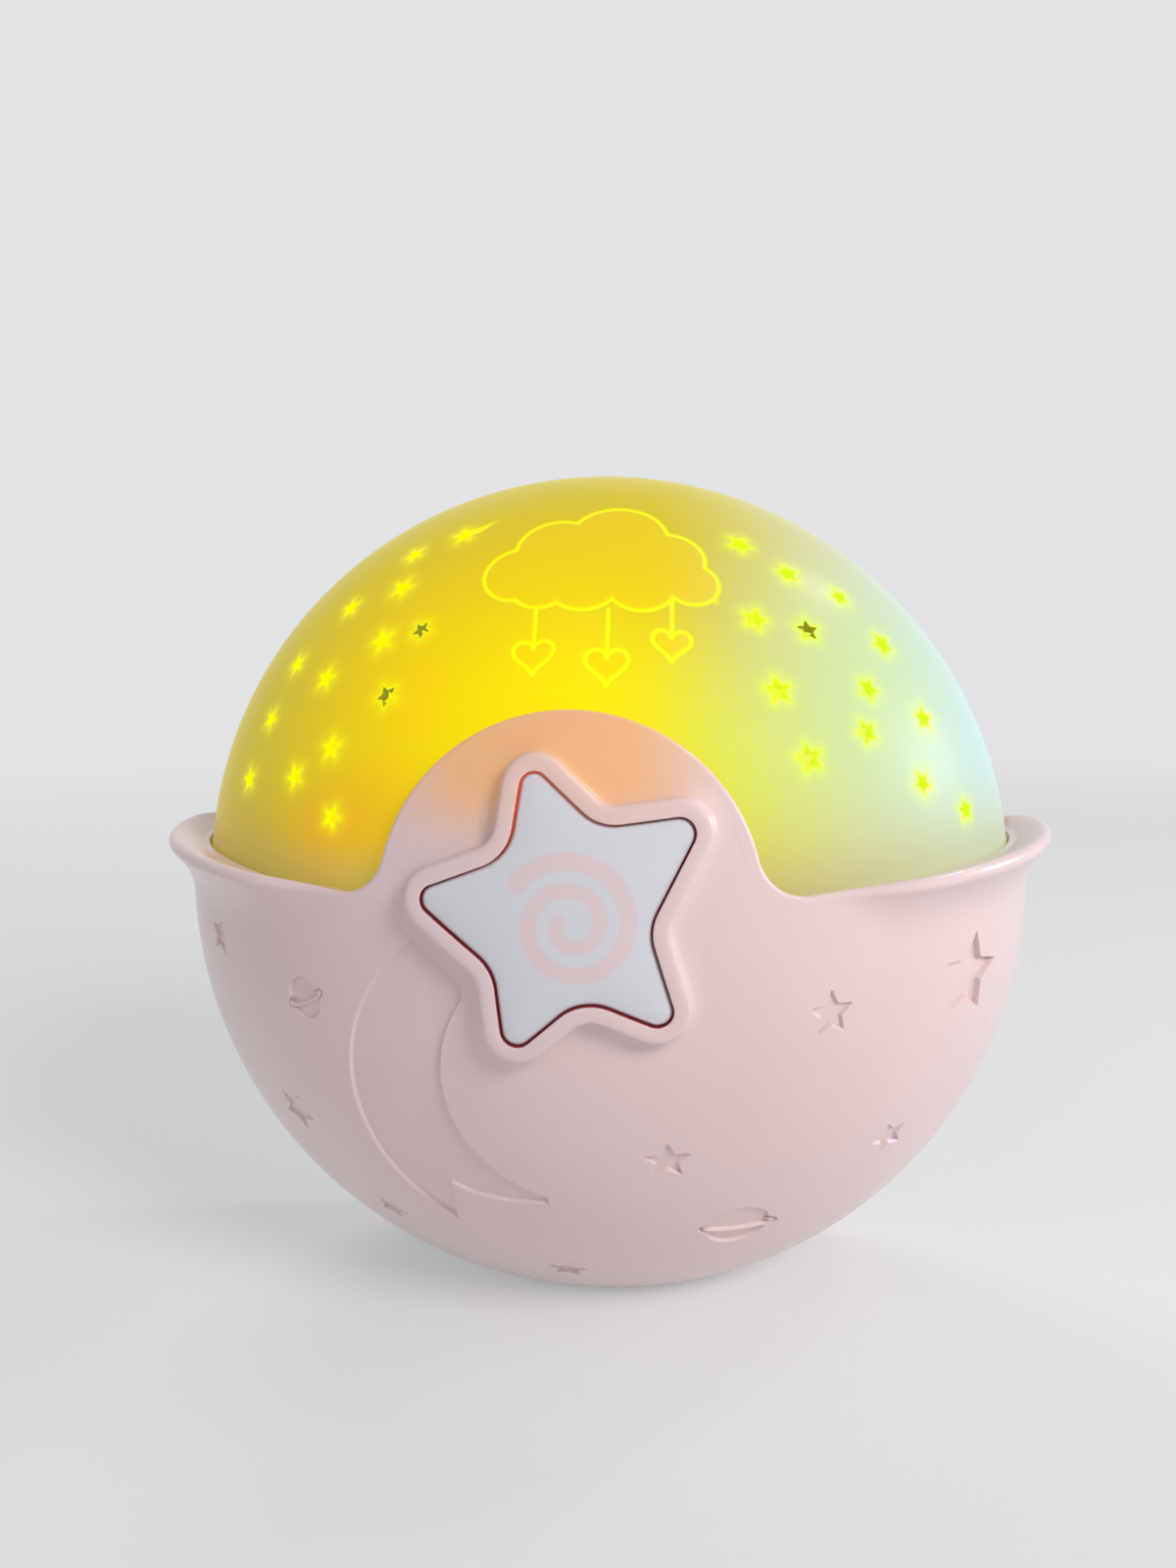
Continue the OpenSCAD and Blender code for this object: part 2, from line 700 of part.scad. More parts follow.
module speaker_frame() {
    color([0.25, 0.25, 0.27]) translate([speaker_at[0], 0, axis_h + speaker_at[1]])
        rotate([90, 0, 0]) rotate_extrude($fn = smooth) polygon([
            [5, -4], [9.4, -4], [17.5, -9.2], [speaker_r, -9.2], [speaker_r, -10.6],
            [17, -10.6], [8.6, -5.2], [5, -5.2]
        ]);
}
module speaker_cone() {
    color([0.12, 0.12, 0.13]) translate([speaker_at[0], 0, axis_h + speaker_at[1]])
        rotate([90, 0, 0]) rotate_extrude($fn = smooth) polygon([
            [0, -7.2], [6, -7.2], [15.6, -10.9], [17.4, -10.9], [17.4, -10.7], [15.6, -10.5],
            [6.2, -6.6], [0, -6.6]
        ]);
}
module speaker_magnet() {
    color([0.55, 0.55, 0.57]) rod(speaker_at, 9.2, -0.6, 3.9, smooth);
}
module speaker_gasket() {
    color([0.15, 0.15, 0.15]) along_y(11, 11.55) translate(speaker_at) difference() {
        circle(speaker_r, $fn = smooth);
        circle(speaker_r - 2.4, $fn = smooth);
    }
}
module speaker_screws() {
    color([0.7, 0.7, 0.72]) for (p = speaker_posts) {
        rod(p, small_shank, 8, 11.6);
        rod(p, 3.4, 7.9, 9.1);
    }
}

// Sets children at the rear end of cell i, with Z towards the end with the nub
module at_cell(i) {
    translate([i * cell_pitch, cell_y, axis_h + battery_h]) rotate([i == 0 ? 180 : 0, 0, 0])
        translate([0, 0, box_half[1] - contact_t - nub_l - cell_l - 0.05]) children();
}
module battery(i) {
    color([0.18, 0.36, 0.2]) at_cell(i) {
        cylinder(h = cell_l, r = cell_r, $fn = smooth);
        cylinder(h = cell_l + nub_l, r = 2.6, $fn = fine);
    }
}
module battery_left() { battery(-1); }
module battery_middle() { battery(0); }
module battery_right() { battery(1); }
module battery_springs() {
    gap = 2 * (box_half[1] - contact_t) - cell_l - nub_l - 0.05;
    color([0.8, 0.8, 0.8]) for (i = [-1 : 1]) at_cell(i)
        translate([0, 0, 0.05 - gap]) coil(3.2, 0.4, 4, gap - 0.1);
}
module contacts(up) {
    color([0.85, 0.85, 0.83]) for (i = [-1 : 1])
        translate([i * cell_pitch - 5.5, cell_y - 6, axis_h + battery_h])
            translate([0, 0, up > 0 ? box_half[1] - contact_t : -box_half[1]])
                cube([11, 12, contact_t]);
}
module upper_contacts() { contacts(1); }
module lower_contacts() { contacts(-1); }

module battery_door() {
    color([0.80, 0.66, 0.66]) at_battery() difference() {
        union() {
            along_y(back_y - door_t, back_y) box_outline(door_half, door_r);
            along_y(back_y - door_t - 0.8, back_y - door_t + 0.1) difference() {
                square(2 * (box_half - [0.6, 0.6]), center = true);
                square(2 * (box_half - [2, 2]), center = true);
            }
        }
        for (s = [-1, 1]) {
            rod([s * door_screw_x, 0], 1.6, 0, reach);
            rod([s * door_screw_x, 0], 2.9, back_y - 1.2, reach);
        }
        along_y(back_y - 0.7, reach) translate([0, 24]) box_outline([9, 3], 2.9);
    }
}
module door_screws() {
    color([0.7, 0.7, 0.72]) at_battery() for (s = [-1, 1]) difference() {
        union() {
            rod([s * door_screw_x, 0], screw_r - 0.05, 3, back_y - 1);
            rod([s * door_screw_x, 0], 2.7, back_y - 1.2, back_y - 0.1);
        }
        along_y(back_y - 0.8, reach) translate([s * door_screw_x, 0]) {
            square([3.4, 0.7], center = true);
            square([0.7, 3.4], center = true);
        }
    }
}
module housing_screws() {
    color([0.7, 0.7, 0.72]) for (p = housing_posts) difference() {
        union() {
            rod(p, screw_r, -5, seat_y + 1);
            rod(p, 2.8, seat_y, seat_y + 2);
        }
        along_y(seat_y + 1, reach) translate(p) {
            square([3.4, 0.7], center = true);
            square([0.7, 3.4], center = true);
        }
    }
}

// Two-core leads: the second core lies beside the first
module leads(route, tints, beside) {
    for (k = [0, 1]) color(tints[k])
        tube([for (p = route) p + [0, 0, axis_h] + k * beside], lead_r);
}
module speaker_leads() {
    leads([
        [-48, 1.5, -34], [-44, -3, -34], [-39, -8, -33], [-30, -10.5, -30], [-16, -11.5, -27],
        [0, -11.5, -26], [16, -11.5, -26], [30, -10, -27], [38, -6, -28], [42, -1.5, -29],
        [43, 1, -29], [43, 2.5, -29]
    ], [[0.8, 0.1, 0.1], [0.1, 0.1, 0.1]], [0, 0, 1.8]);
}
module battery_leads() {
    leads([
        [26, 4, -16], [28, 4, -16], [31, 2, -16], [34, -2, -15.5], [39, -4, -15], [44, -3, -15],
        [46, 0, -15], [46, 2.5, -15]
    ], [[0.8, 0.1, 0.1], [0.1, 0.1, 0.1]], [0, 0, 1.8]);
}
module lamp_leads() {
    leads([
        [12, -20.5, 16.65], [12, -18.6, 15.3], [15, -14, 10], [22, -10, 3], [32, -7, -4],
        [42, -4, -9], [49, -1, -11.5], [51, 1, -12], [51, 2.5, -12]
    ], [[0.85, 0.6, 0.1], [0.9, 0.9, 0.9]], [1.5, 0, 1.5]);
}
module button_leads() {
    leads([
        [6, -54.3, 3], [6, -52, 3], [9, -47, 0], [14, -40, -4], [22, -30, -9], [33, -18, -14],
        [45, -7, -17], [52, -1, -18.5], [53, 1, -19], [53, 2.5, -19]
    ], [[0.2, 0.4, 0.8], [0.9, 0.9, 0.9]], [0, 0, 1.8]);
}

back_shell();
front_shell();
dome_cover();
reflector_plate();
foot_pad();
star_button();
button_frame();
button_springs();
button_board();
button_switch();
switch_plunger();
frame_screws();
lamp_bracket();
lamp_board();
amber_lamp();
green_lamp();
blue_lamp();
bracket_screws();
main_board();
main_chip();
capacitor();
mode_switch();
volume_switch();
mode_knob();
volume_knob();
board_screws();
speaker_frame();
speaker_cone();
speaker_magnet();
speaker_gasket();
speaker_screws();
battery_left();
battery_middle();
battery_right();
battery_springs();
upper_contacts();
lower_contacts();
battery_door();
door_screws();
housing_screws();
speaker_leads();
battery_leads();
lamp_leads();
button_leads();
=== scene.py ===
"""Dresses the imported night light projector: pink bowl, lit dome, star button and all behind them."""

import math

import bpy
import numpy as np
from mathutils import Matrix, Vector
from mathutils.kdtree import KDTree


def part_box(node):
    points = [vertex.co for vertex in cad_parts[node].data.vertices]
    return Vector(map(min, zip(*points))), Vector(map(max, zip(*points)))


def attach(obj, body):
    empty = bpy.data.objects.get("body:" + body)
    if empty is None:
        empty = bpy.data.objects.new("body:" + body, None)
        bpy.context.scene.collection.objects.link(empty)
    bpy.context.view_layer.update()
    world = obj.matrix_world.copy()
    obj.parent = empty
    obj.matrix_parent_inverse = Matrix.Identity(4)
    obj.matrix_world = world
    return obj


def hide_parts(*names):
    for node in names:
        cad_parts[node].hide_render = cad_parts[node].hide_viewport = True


bl_info = {
    "name": "Night light projector",
    "version": (1, 0, 0),
    "blender": (4, 5, 0),
    "location": "View3D > Sidebar > Night light",
    "description": "Shapes and finishes for a bedside star projector",
    "category": "Object",
}

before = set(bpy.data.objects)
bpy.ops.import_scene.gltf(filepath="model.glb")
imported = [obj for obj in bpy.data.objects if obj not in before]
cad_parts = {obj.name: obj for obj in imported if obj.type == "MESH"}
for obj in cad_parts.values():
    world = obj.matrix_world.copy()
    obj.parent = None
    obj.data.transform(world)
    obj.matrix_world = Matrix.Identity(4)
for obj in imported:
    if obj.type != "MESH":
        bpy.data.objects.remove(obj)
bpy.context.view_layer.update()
DOME_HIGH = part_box("dome_cover")[1]
SEAM_Y = DOME_HIGH.y
MM = 0.001
# Planes and sides clear of the whole object, for tools that cut right through it
AHEAD, BEHIND, ASIDE = -0.12, 0.04, 0.13
# Faces round the axis and from its middle to the skirt, on the bowl and the dome
CAP_SEGMENTS, CAP_RINGS = 240, 76

# Corners of the star button from its middle: across, up and rounding radius, in millimetres
STAR_CORNERS = [
    (-7.6, 30.0, 3.0), (7.0, 16.6, 9), (27.6, 19.0, 3.2), (16.4, -2.6, 9), (22.8, -24.2, 3.2),
    (3.6, -15.8, 9), (-11.8, -29.4, 3.2), (-13.6, -10.6, 9), (-31.0, 3.2, 3.0), (-10.4, 11.0, 9),
]
# Star holes in the dome: bearing, tilt from straight ahead, share of the tip radius, and turn
HOLE_STARS = [
    (108, 52, 1, 10), (116, 53, 0.9, 30), (119, 47, 1.1, 50), (128, 50, 0.95, 5),
    (125, 41, 1.15, 20), (118, 39, 0.9, 40), (140, 50, 1, 15), (137, 43, 1.1, 60),
    (129, 34, 1.05, 30), (149, 48, 0.95, 45), (144, 35, 1.1, 0), (153, 38, 1.1, 25),
    (159, 47, 1.05, 10), (155, 30, 1, 50),
    (67, 51, 1.1, 40), (59, 50, 1.05, 12), (60, 41, 1.1, 55), (51, 53, 0.9, 20),
    (52, 44, 1.1, 5), (42, 51, 1.1, 33), (50, 35, 1.2, 10), (39, 44, 1, 48),
    (30, 49, 1.05, 0), (34, 40, 1.05, 25), (37, 32, 1.2, 15), (22, 44, 1, 36),
    (15, 50, 1, 8),
]
HOLE_RADIUS = 2.3
HOLES = [(bearing, tilt, HOLE_RADIUS * share, turn) for bearing, tilt, share, turn in HOLE_STARS]
# Distance in millimetres in which the light beside a hole falls to about a third
HALO_FALL = 1.1
# Bearings and tilts of the holes whose walls and edges are painted dark, a painted shade of the unlit
# inside
DARK_HOLES = [(118, 39), (129, 34), (52, 44)]
# Sunk stars of the bowl: bearing, tilt, tip radius and turn
SUNK_STARS = [
    (184, 46, 4.5, -11), (214.5, 43, 5.5, -25), (237, 45, 4, -21), (267, 45, 4.5, -6),
    (293, 25, 4.8, 1), (324, 45, 4.5, 16), (344.5, 27.5, 4.8, 2), (351.6, 46.5, 9.4, -8),
]
# The last of them is the big one, sunk deeper: how far round its middle, and how much
BIG_STAR_REACH, BIG_STAR_DEPTH = 0.0115, 1.7
# Sunk planets of the bowl: bearing, tilt, globe radius and turn
SUNK_PLANETS = [(194, 30.5, 4.5, 25), (297, 40, 6.8, -8)]
# Sunk moon: middle and radius of its two arcs, the notch at its lower end, and its right end
MOON_OUTER = (-6.6, -31, 40.4)
MOON_INNER = (4, -27, 30.2)
MOON_NOTCH = [(-27, -54), (-22, -56.4), (-14, -57.4), (-6, -57), (0, -80), (-28, -80)]
MOON_RIGHT = -6
# Engraved cloud on the top of the dome: bearing and tilt, middle and radius of its lobes, and for
# each heart that hangs from it the string's place, top and foot and the heart's half width
CLOUD_AT = (86.5, 40.3)
CLOUD_LOBES = [
    (-17, 3, 7.5), (-9, 10, 9), (4, 13, 10.5), (14.5, 7, 8), (19.5, 0.5, 5.8), (9, -0.5, 7.5),
    (-3, 0, 8), (-12, -0.5, 6.5),
]
HANGING_HEARTS = [(-12.5, -7, -18.5, 4.2), (2.5, -8, -21, 4.4), (15.5, -5, -15.5, 4)]
# Tail of the shooting star: bearing and tilt of its star, length and widest half width
COMET = (108, 52, 7, 1.3)
# Direction of the tail on the dome, and where it starts
COMET_WAY, COMET_START = (0.82, 0.57), 1.5
ENGRAVED_DEPTH = 0.00025
# Springs behind the button: bearing and distance from its middle
SPRING_SEATS = [(24, 15), (250, 15), (172, 15)]
# Hollow pegs that they run into: radius of peg and hollow, rear end of the peg, hollow's two ends
PEG_RADIUS, PEG_HOLLOW, PEG_REAR = 0.0032, 0.0027, -0.0665
HOLLOW_FRONT, HOLLOW_REAR = -0.0688, -0.066
# Middle peg that presses the switch: radius, front and rear end
PRESSING_PEG = (0.0026, -0.083, -0.0625)


class NIGHTLIGHT_PG_sizes(bpy.types.PropertyGroup):
    """Sizes that shape the bowl, the dome and the button"""

    dome_radius: bpy.props.FloatProperty(
        name="Dome radius", description="Radius of the lamp dome at its rear edge",
        default=0.1, unit="LENGTH", precision=4)
    dome_depth: bpy.props.FloatProperty(
        name="Dome depth", description="Depth of the dome in front of its rear edge",
        default=0.078, unit="LENGTH", precision=4)
    shoulder_radius: bpy.props.FloatProperty(
        name="Shoulder radius", description="Radius where the dome turns into its side",
        default=0.058, unit="LENGTH", precision=4)
    dome_wall: bpy.props.FloatProperty(
        name="Dome wall", description="Thickness of the dome",
        default=0.002, unit="LENGTH", precision=4)
    dome_overlap: bpy.props.FloatProperty(
        name="Dome overlap", description="How far the dome runs down behind the bowl",
        default=0.0055, unit="LENGTH", precision=4)
    bowl_grow: bpy.props.FloatProperty(
        name="Bowl offset", description="How far the bowl's face stands outside the dome's",
        default=0.004, unit="LENGTH", precision=4)
    bowl_wall: bpy.props.FloatProperty(
        name="Bowl wall", description="Thickness of the bowl",
        default=0.0032, unit="LENGTH", precision=4)
    rim_height: bpy.props.FloatProperty(
        name="Rim height", description="Height of the rim beside the hump above the dome's middle",
        default=0.0098, unit="LENGTH", precision=4)
    rim_rise: bpy.props.FloatProperty(
        name="Rim rise", description="Slope of the rim towards the sides",
        default=math.radians(5.1), subtype="ANGLE")
    rim_edge: bpy.props.FloatProperty(
        name="Rim edge", description="Rounding of the rim where it has no lip",
        default=0.0011, unit="LENGTH", precision=4)
    hump_radius: bpy.props.FloatProperty(
        name="Hump radius", description="Radius of the hump round the star button",
        default=0.0385, unit="LENGTH", precision=4)
    hump_hollow: bpy.props.FloatProperty(
        name="Hump hollow", description="Radius of the hollow between hump and rim",
        default=0.01, unit="LENGTH", precision=4)
    lip_middle: bpy.props.FloatProperty(
        name="Lip middle", description="Distance of the middle of a lip's arc from the object's middle",
        default=0.037, unit="LENGTH", precision=4)
    lip_radius: bpy.props.FloatProperty(
        name="Lip radius", description="Radius of a lip's arc seen from above",
        default=0.0718, unit="LENGTH", precision=4)
    lip_bead: bpy.props.FloatProperty(
        name="Lip bead", description="Rounding of the lip's outer edge",
        default=0.0016, unit="LENGTH", precision=4)
    button_height: bpy.props.FloatProperty(
        name="Button height", description="Height of the button's middle above the dome's middle",
        default=0.0082, unit="LENGTH", precision=4)
    button_gap: bpy.props.FloatProperty(
        name="Button gap", description="Gap all round the button",
        default=0.0003, unit="LENGTH", precision=5)
    button_rise: bpy.props.FloatProperty(
        name="Button rise", description="How far the button's face stands out of the bowl's",
        default=0.00265, unit="LENGTH", precision=4)
    star_rim_rise: bpy.props.FloatProperty(
        name="Star rim rise", description="How far the rim round the button stands out",
        default=0.0034, unit="LENGTH", precision=4)
    figure_depth: bpy.props.FloatProperty(
        name="Figure depth", description="Depth of the sunk moon, stars and planets",
        default=0.0008, unit="LENGTH", precision=5)
    line_width: bpy.props.FloatProperty(
        name="Engraved line", description="Width of the lines engraved in the dome",
        default=0.0009, unit="LENGTH", precision=5)


class NIGHTLIGHT_PG_colours(bpy.types.PropertyGroup):
    """Colours of the finishes"""

    bowl: bpy.props.FloatVectorProperty(
        name="Bowl", description="Dusty pink plastic", subtype="COLOR", size=4,
        default=(0.74, 0.56, 0.57, 1))
    warm: bpy.props.FloatVectorProperty(
        name="Warm bowl", description="Bowl where lamp light comes through it",
        subtype="COLOR", size=4, default=(0.80, 0.40, 0.15, 1))
    button: bpy.props.FloatVectorProperty(
        name="Button", description="Pale lilac grey plastic", subtype="COLOR", size=4,
        default=(0.64, 0.64, 0.685, 1))
    spiral: bpy.props.FloatVectorProperty(
        name="Spiral", description="Pink print on the button", subtype="COLOR", size=4,
        default=(0.74, 0.55, 0.57, 1))
    cool: bpy.props.FloatVectorProperty(
        name="Cool glow", description="Dome over the blue lamp, on the right", subtype="COLOR",
        size=4, default=(0.53, 0.73, 0.74, 1))
    # Painted glow near the rim on the right, darker there as a painted shade
    cool_low: bpy.props.FloatVectorProperty(
        name="Cool foot", description="Dome near the rim on the right", subtype="COLOR",
        size=4, default=(0.57, 0.60, 0.37, 1))
    gold: bpy.props.FloatVectorProperty(
        name="Gold glow", description="Dome on the left", subtype="COLOR", size=4,
        default=(0.66, 0.53, 0.02, 1))
    # Painted glow near the rim on the left, darker there as a painted shade
    gold_low: bpy.props.FloatVectorProperty(
        name="Gold foot", description="Dome near the rim on the left", subtype="COLOR", size=4,
        default=(0.58, 0.40, 0.05, 1))
    amber: bpy.props.FloatVectorProperty(
        name="Amber glow", description="Dome over the amber lamp", subtype="COLOR", size=4,
        default=(0.97, 0.68, 0.0, 1))
    yellow: bpy.props.FloatVectorProperty(
        name="Yellow glow", description="Dome just above the hump", subtype="COLOR", size=4,
        default=(0.96, 0.88, 0.0, 1))
    lime: bpy.props.FloatVectorProperty(
        name="Lime glow", description="Dome over the green lamp", subtype="COLOR", size=4,
        default=(0.68, 0.80, 0.05, 1))
    lime_pale: bpy.props.FloatVectorProperty(
        name="Pale lime glow", description="Dome round the star holes on the right",
        subtype="COLOR", size=4, default=(0.56, 0.75, 0.30, 1))
    ember: bpy.props.FloatVectorProperty(
        name="Ember glow", description="Warm patch low on the left", subtype="COLOR", size=4,
        default=(0.92, 0.40, 0.01, 1))
    star: bpy.props.FloatVectorProperty(
        name="Star glow", description="Light at the star holes and engraved lines on the left",
        subtype="COLOR", size=4, default=(0.95, 0.90, 0.0, 1))
    star_right: bpy.props.FloatVectorProperty(
        name="Right star glow", description="Light at the star holes on the right",
        subtype="COLOR", size=4, default=(0.70, 0.93, 0.02, 1))


class Cap:
    """Face of the dome and of the shells outside it: a crown, a shoulder and a straight skirt"""

    def __init__(self, sizes):
        self.rim = sizes.dome_radius
        self.shoulder = sizes.shoulder_radius
        self.ring = self.rim - self.shoulder
        self.crown = (self.ring**2 + sizes.dome_depth**2 - self.shoulder**2) / (
            2 * (sizes.dome_depth - self.shoulder))
        self.drop = self.crown - sizes.dome_depth
        self.turn = math.atan2(self.drop, self.ring)
        self.mid = DOME_HIGH.z - self.rim

    def at(self, tilt, bearing, grow):
        """Points of the face by tilt from straight ahead and bearing round the axis"""
        crown = tilt <= math.pi / 2 - self.turn
        r = np.where(crown, (self.crown + grow) * np.sin(tilt),
                     self.ring + (self.shoulder + grow) * np.sin(tilt))
        d = np.where(crown, (self.crown + grow) * np.cos(tilt) - self.drop,
                     (self.shoulder + grow) * np.cos(tilt))
        return np.stack([r * np.cos(bearing), -d, self.mid + r * np.sin(bearing)], -1)

    def parts(self, p):
        """Middle of the arc that each point belongs to, and the arc's radius"""
        x, y, h = p[..., 0], p[..., 1], p[..., 2] - self.mid
        r = np.maximum(np.hypot(x, h), 1e-9)
        zero = np.zeros_like(x)
        crown_mid = np.stack([zero, zero + self.drop, zero + self.mid], -1)
        ring_mid = np.stack([self.ring * x / r, zero, self.mid + self.ring * h / r], -1)
        skirt_mid = np.stack([zero, y, zero + self.mid], -1)
        tilt = np.arctan2(r, self.drop - y)
        crown = (tilt <= math.pi / 2 - self.turn)[..., None]
        skirt = (y > 0)[..., None]
        mid = np.where(skirt, skirt_mid, np.where(crown, crown_mid, ring_mid))
        radius = np.where(skirt, self.rim, np.where(crown, self.crown, self.shoulder))
        return mid, radius

    def on(self, p, grow):
        """Nearest points of the face"""
        mid, radius = self.parts(p)
        way = p - mid
        return mid + way / np.linalg.norm(way, axis=-1, keepdims=True) * (radius + grow)

    def normal(self, p):
        """Directions straight out of the face"""
        mid, _ = self.parts(p)
        way = p - mid
        return way / np.linalg.norm(way, axis=-1, keepdims=True)

    def front(self, x, h, grow):
        """Points of the face that the front view shows at x and h"""
        r = np.hypot(x, h)
        seam = self.ring + (self.shoulder + grow) * math.cos(self.turn)
        crown = (self.crown + grow) ** 2 - r**2
        shoulder = (self.shoulder + grow) ** 2 - (r - self.ring) ** 2
        y = np.where(r <= seam, self.drop - np.sqrt(np.maximum(crown, 0)),
                     -np.sqrt(np.maximum(shoulder, 0)))
        return np.stack([x, y, self.mid + h], -1)

    def axes(self, bearing, tilt, grow):
        """A place on the face by bearing and tilt in degrees, with its across, up and out axes"""
        b = math.radians(bearing)
        turn = (Matrix.Rotation(math.pi / 2, 3, "X") @ Matrix.Rotation(b, 3, "Z")
                @ Matrix.Rotation(math.radians(tilt), 3, "Y") @ Matrix.Rotation(-b, 3, "Z"))
        middle = self.at(np.array(math.radians(tilt)), np.array(b), grow)
        return middle, np.array(turn.col[0]), np.array(turn.col[1]), np.array(turn.col[2])


# Outlines and distances in the plane

def arc(middle, radius, start, end, steps):
    angle = np.radians(np.linspace(start, end, steps + 1))
    return np.stack([middle[0] + radius * np.cos(angle), middle[1] + radius * np.sin(angle)], -1)


def star_outline(radius, turn=0.0):
    angle = np.radians(90 + 36 * np.arange(10) + turn)
    reach = np.where(np.arange(10) % 2 == 0, radius, 0.48 * radius)
    return np.stack([reach * np.cos(angle), reach * np.sin(angle)], -1)


def heart_outline(radius):
    t = np.linspace(0, 2 * math.pi, 40, endpoint=False)
    x = 16 * np.sin(t) ** 3
    y = 13 * np.cos(t) - 5 * np.cos(2 * t) - 2 * np.cos(3 * t) - np.cos(4 * t)
    return np.stack([x, y], -1) * radius / 16


def button_outline(grow):
    """Star button's outline, grown outwards, with as many points for any growth, in metres"""
    arc_steps, side_steps = 8, 14
    corners = np.array(STAR_CORNERS, float)
    corners[:, :2] *= MM
    corners[:, 2] *= MM
    count = len(corners)
    arcs = []
    for i in range(count):
        a, b, e = corners[i - 1, :2], corners[i, :2], corners[(i + 1) % count, :2]
        u = (b - a) / np.linalg.norm(b - a)
        v = (e - b) / np.linalg.norm(e - b)
        side = 1 if u[0] * v[1] - u[1] * v[0] < 0 else -1
        half = math.sqrt((1 + u @ v) / 2)
        out = (u - v) / np.linalg.norm(u - v)
        tip = b + side * grow / half * out
        radius = corners[i, 2] + side * grow
        back, on = -u, v
        angle = math.acos(np.clip(back @ on, -1, 1)) / 2
        middle = tip + (back + on) / np.linalg.norm(back + on) * radius / math.sin(angle)
        s = tip + back * radius / math.tan(angle) - middle
        t = tip + on * radius / math.tan(angle) - middle
        start = math.atan2(s[1], s[0])
        sweep = math.atan2(s[0] * t[1] - s[1] * t[0], s @ t)
        turns = start + sweep * np.linspace(0, 1, arc_steps + 1)
        arcs.append(np.stack([middle[0] + abs(radius) * np.cos(turns),
                              middle[1] + abs(radius) * np.sin(turns)], -1))
    points = []
    for i in range(count):
        points += list(arcs[i])
        nxt = arcs[(i + 1) % count][0]
        for k in range(1, side_steps):
            points.append(arcs[i][-1] + (nxt - arcs[i][-1]) * k / side_steps)
    return np.array(points)


def outline_distance(p, outline):
    """Signed distance of plane points from a closed outline, below zero inside"""
    best = np.full(len(p), 1e9)
    inside = np.zeros(len(p), bool)
    for a, b in zip(outline, np.roll(outline, -1, 0)):
        way, off = b - a, p - a
        t = np.clip((off @ way) / (way @ way), 0, 1)
        best = np.minimum(best, np.linalg.norm(off - t[:, None] * way, axis=1))
        crosses = (a[1] > p[:, 1]) != (b[1] > p[:, 1])
        rise = b[1] - a[1] if b[1] != a[1] else 1e-12
        inside ^= crosses & (p[:, 0] < a[0] + (p[:, 1] - a[1]) * way[0] / rise)
    return np.where(inside, -best, best)


def smooth_step(low, high, value):
    t = np.clip((value - low) / (high - low), 0, 1)
    return t * t * (3 - 2 * t)


def rim_line(sizes, inset, top_steps=60):
    """Rim beside and over the hump in the front view, from right to left"""
    hollow_h = sizes.rim_height + sizes.hump_hollow
    reach = sizes.hump_radius + sizes.hump_hollow
    hollow_x = math.sqrt(reach**2 - (hollow_h - sizes.button_height) ** 2)
    start = math.degrees(math.atan2(hollow_h - sizes.button_height, hollow_x))
    hollow = sizes.hump_hollow + inset
    return np.concatenate([
        arc((hollow_x, hollow_h), hollow, 270, 180 + start, 16),
        arc((0, sizes.button_height), sizes.hump_radius - inset, start, 180 - start, top_steps)[1:],
        arc((-hollow_x, hollow_h), hollow, -start, -90, 16)[1:],
    ]), hollow_x


def area_outline(sizes, inset, edge):
    """Closed outline of what lies on one side of the rim: edge is how far that side reaches"""
    line, hollow_x = rim_line(sizes, inset)
    side = sizes.rim_height - inset + (ASIDE - hollow_x) * math.tan(sizes.rim_rise)
    return np.concatenate([[(-ASIDE, side), (-ASIDE, edge), (ASIDE, edge), (ASIDE, side)], line])


def even(points, spacing):
    """Same line with points at even distances"""
    steps = np.linalg.norm(np.diff(points, axis=0), axis=1)
    run = np.concatenate([[0], np.cumsum(steps)])
    wanted = np.linspace(0, run[-1], int(run[-1] / spacing) + 1)
    return np.stack([np.interp(wanted, run, points[:, i]) for i in range(3)], -1)


# Modelling steps

def made(name):
    """Names the newest object and its mesh"""
    obj = bpy.context.active_object
    obj.name = name
    obj.data.name = name
    return obj


def coords(obj):
    co = np.empty(len(obj.data.vertices) * 3)
    obj.data.vertices.foreach_get("co", co)
    return co.reshape(-1, 3)


def place(obj, co):
    obj.data.vertices.foreach_set("co", np.ascontiguousarray(co).ravel())
    obj.data.update()


def middles(obj):
    co = np.empty(len(obj.data.polygons) * 3)
    obj.data.polygons.foreach_get("center", co)
    return co.reshape(-1, 3)


def only(obj):
    """Selects one object alone, in object mode"""
    if bpy.context.object and bpy.context.object.mode != "OBJECT":
        bpy.ops.object.mode_set(mode="OBJECT")
    bpy.ops.object.select_all(action="DESELECT")
    obj.select_set(True)
    bpy.context.view_layer.objects.active = obj


def pick(obj, faces=None, verts=None):
    """Opens edit mode with only these faces or vertices selected"""
    only(obj)
    mesh = obj.data
    for items in (mesh.vertices, mesh.edges, mesh.polygons):
        items.foreach_set("select", np.zeros(len(items), bool))
    if faces is not None:
        mesh.polygons.foreach_set("select", faces)
    else:
        mesh.vertices.foreach_set("select", verts)
    bpy.context.tool_settings.mesh_select_mode = (faces is None, False, faces is not None)
    bpy.ops.object.mode_set(mode="EDIT")


def close_edit():
    bpy.ops.object.mode_set(mode="OBJECT")


def close_outwards():
    """Turns all faces outwards and leaves edit mode"""
    bpy.ops.mesh.select_all(action="SELECT")
    bpy.ops.mesh.normals_make_consistent(inside=False)
    close_edit()


def apply_modifier(obj, kind, **values):
    only(obj)
    modifier = obj.modifiers.new(kind.title(), kind)
    for key, value in values.items():
        setattr(modifier, key, value)
    bpy.ops.object.modifier_apply(modifier=modifier.name)


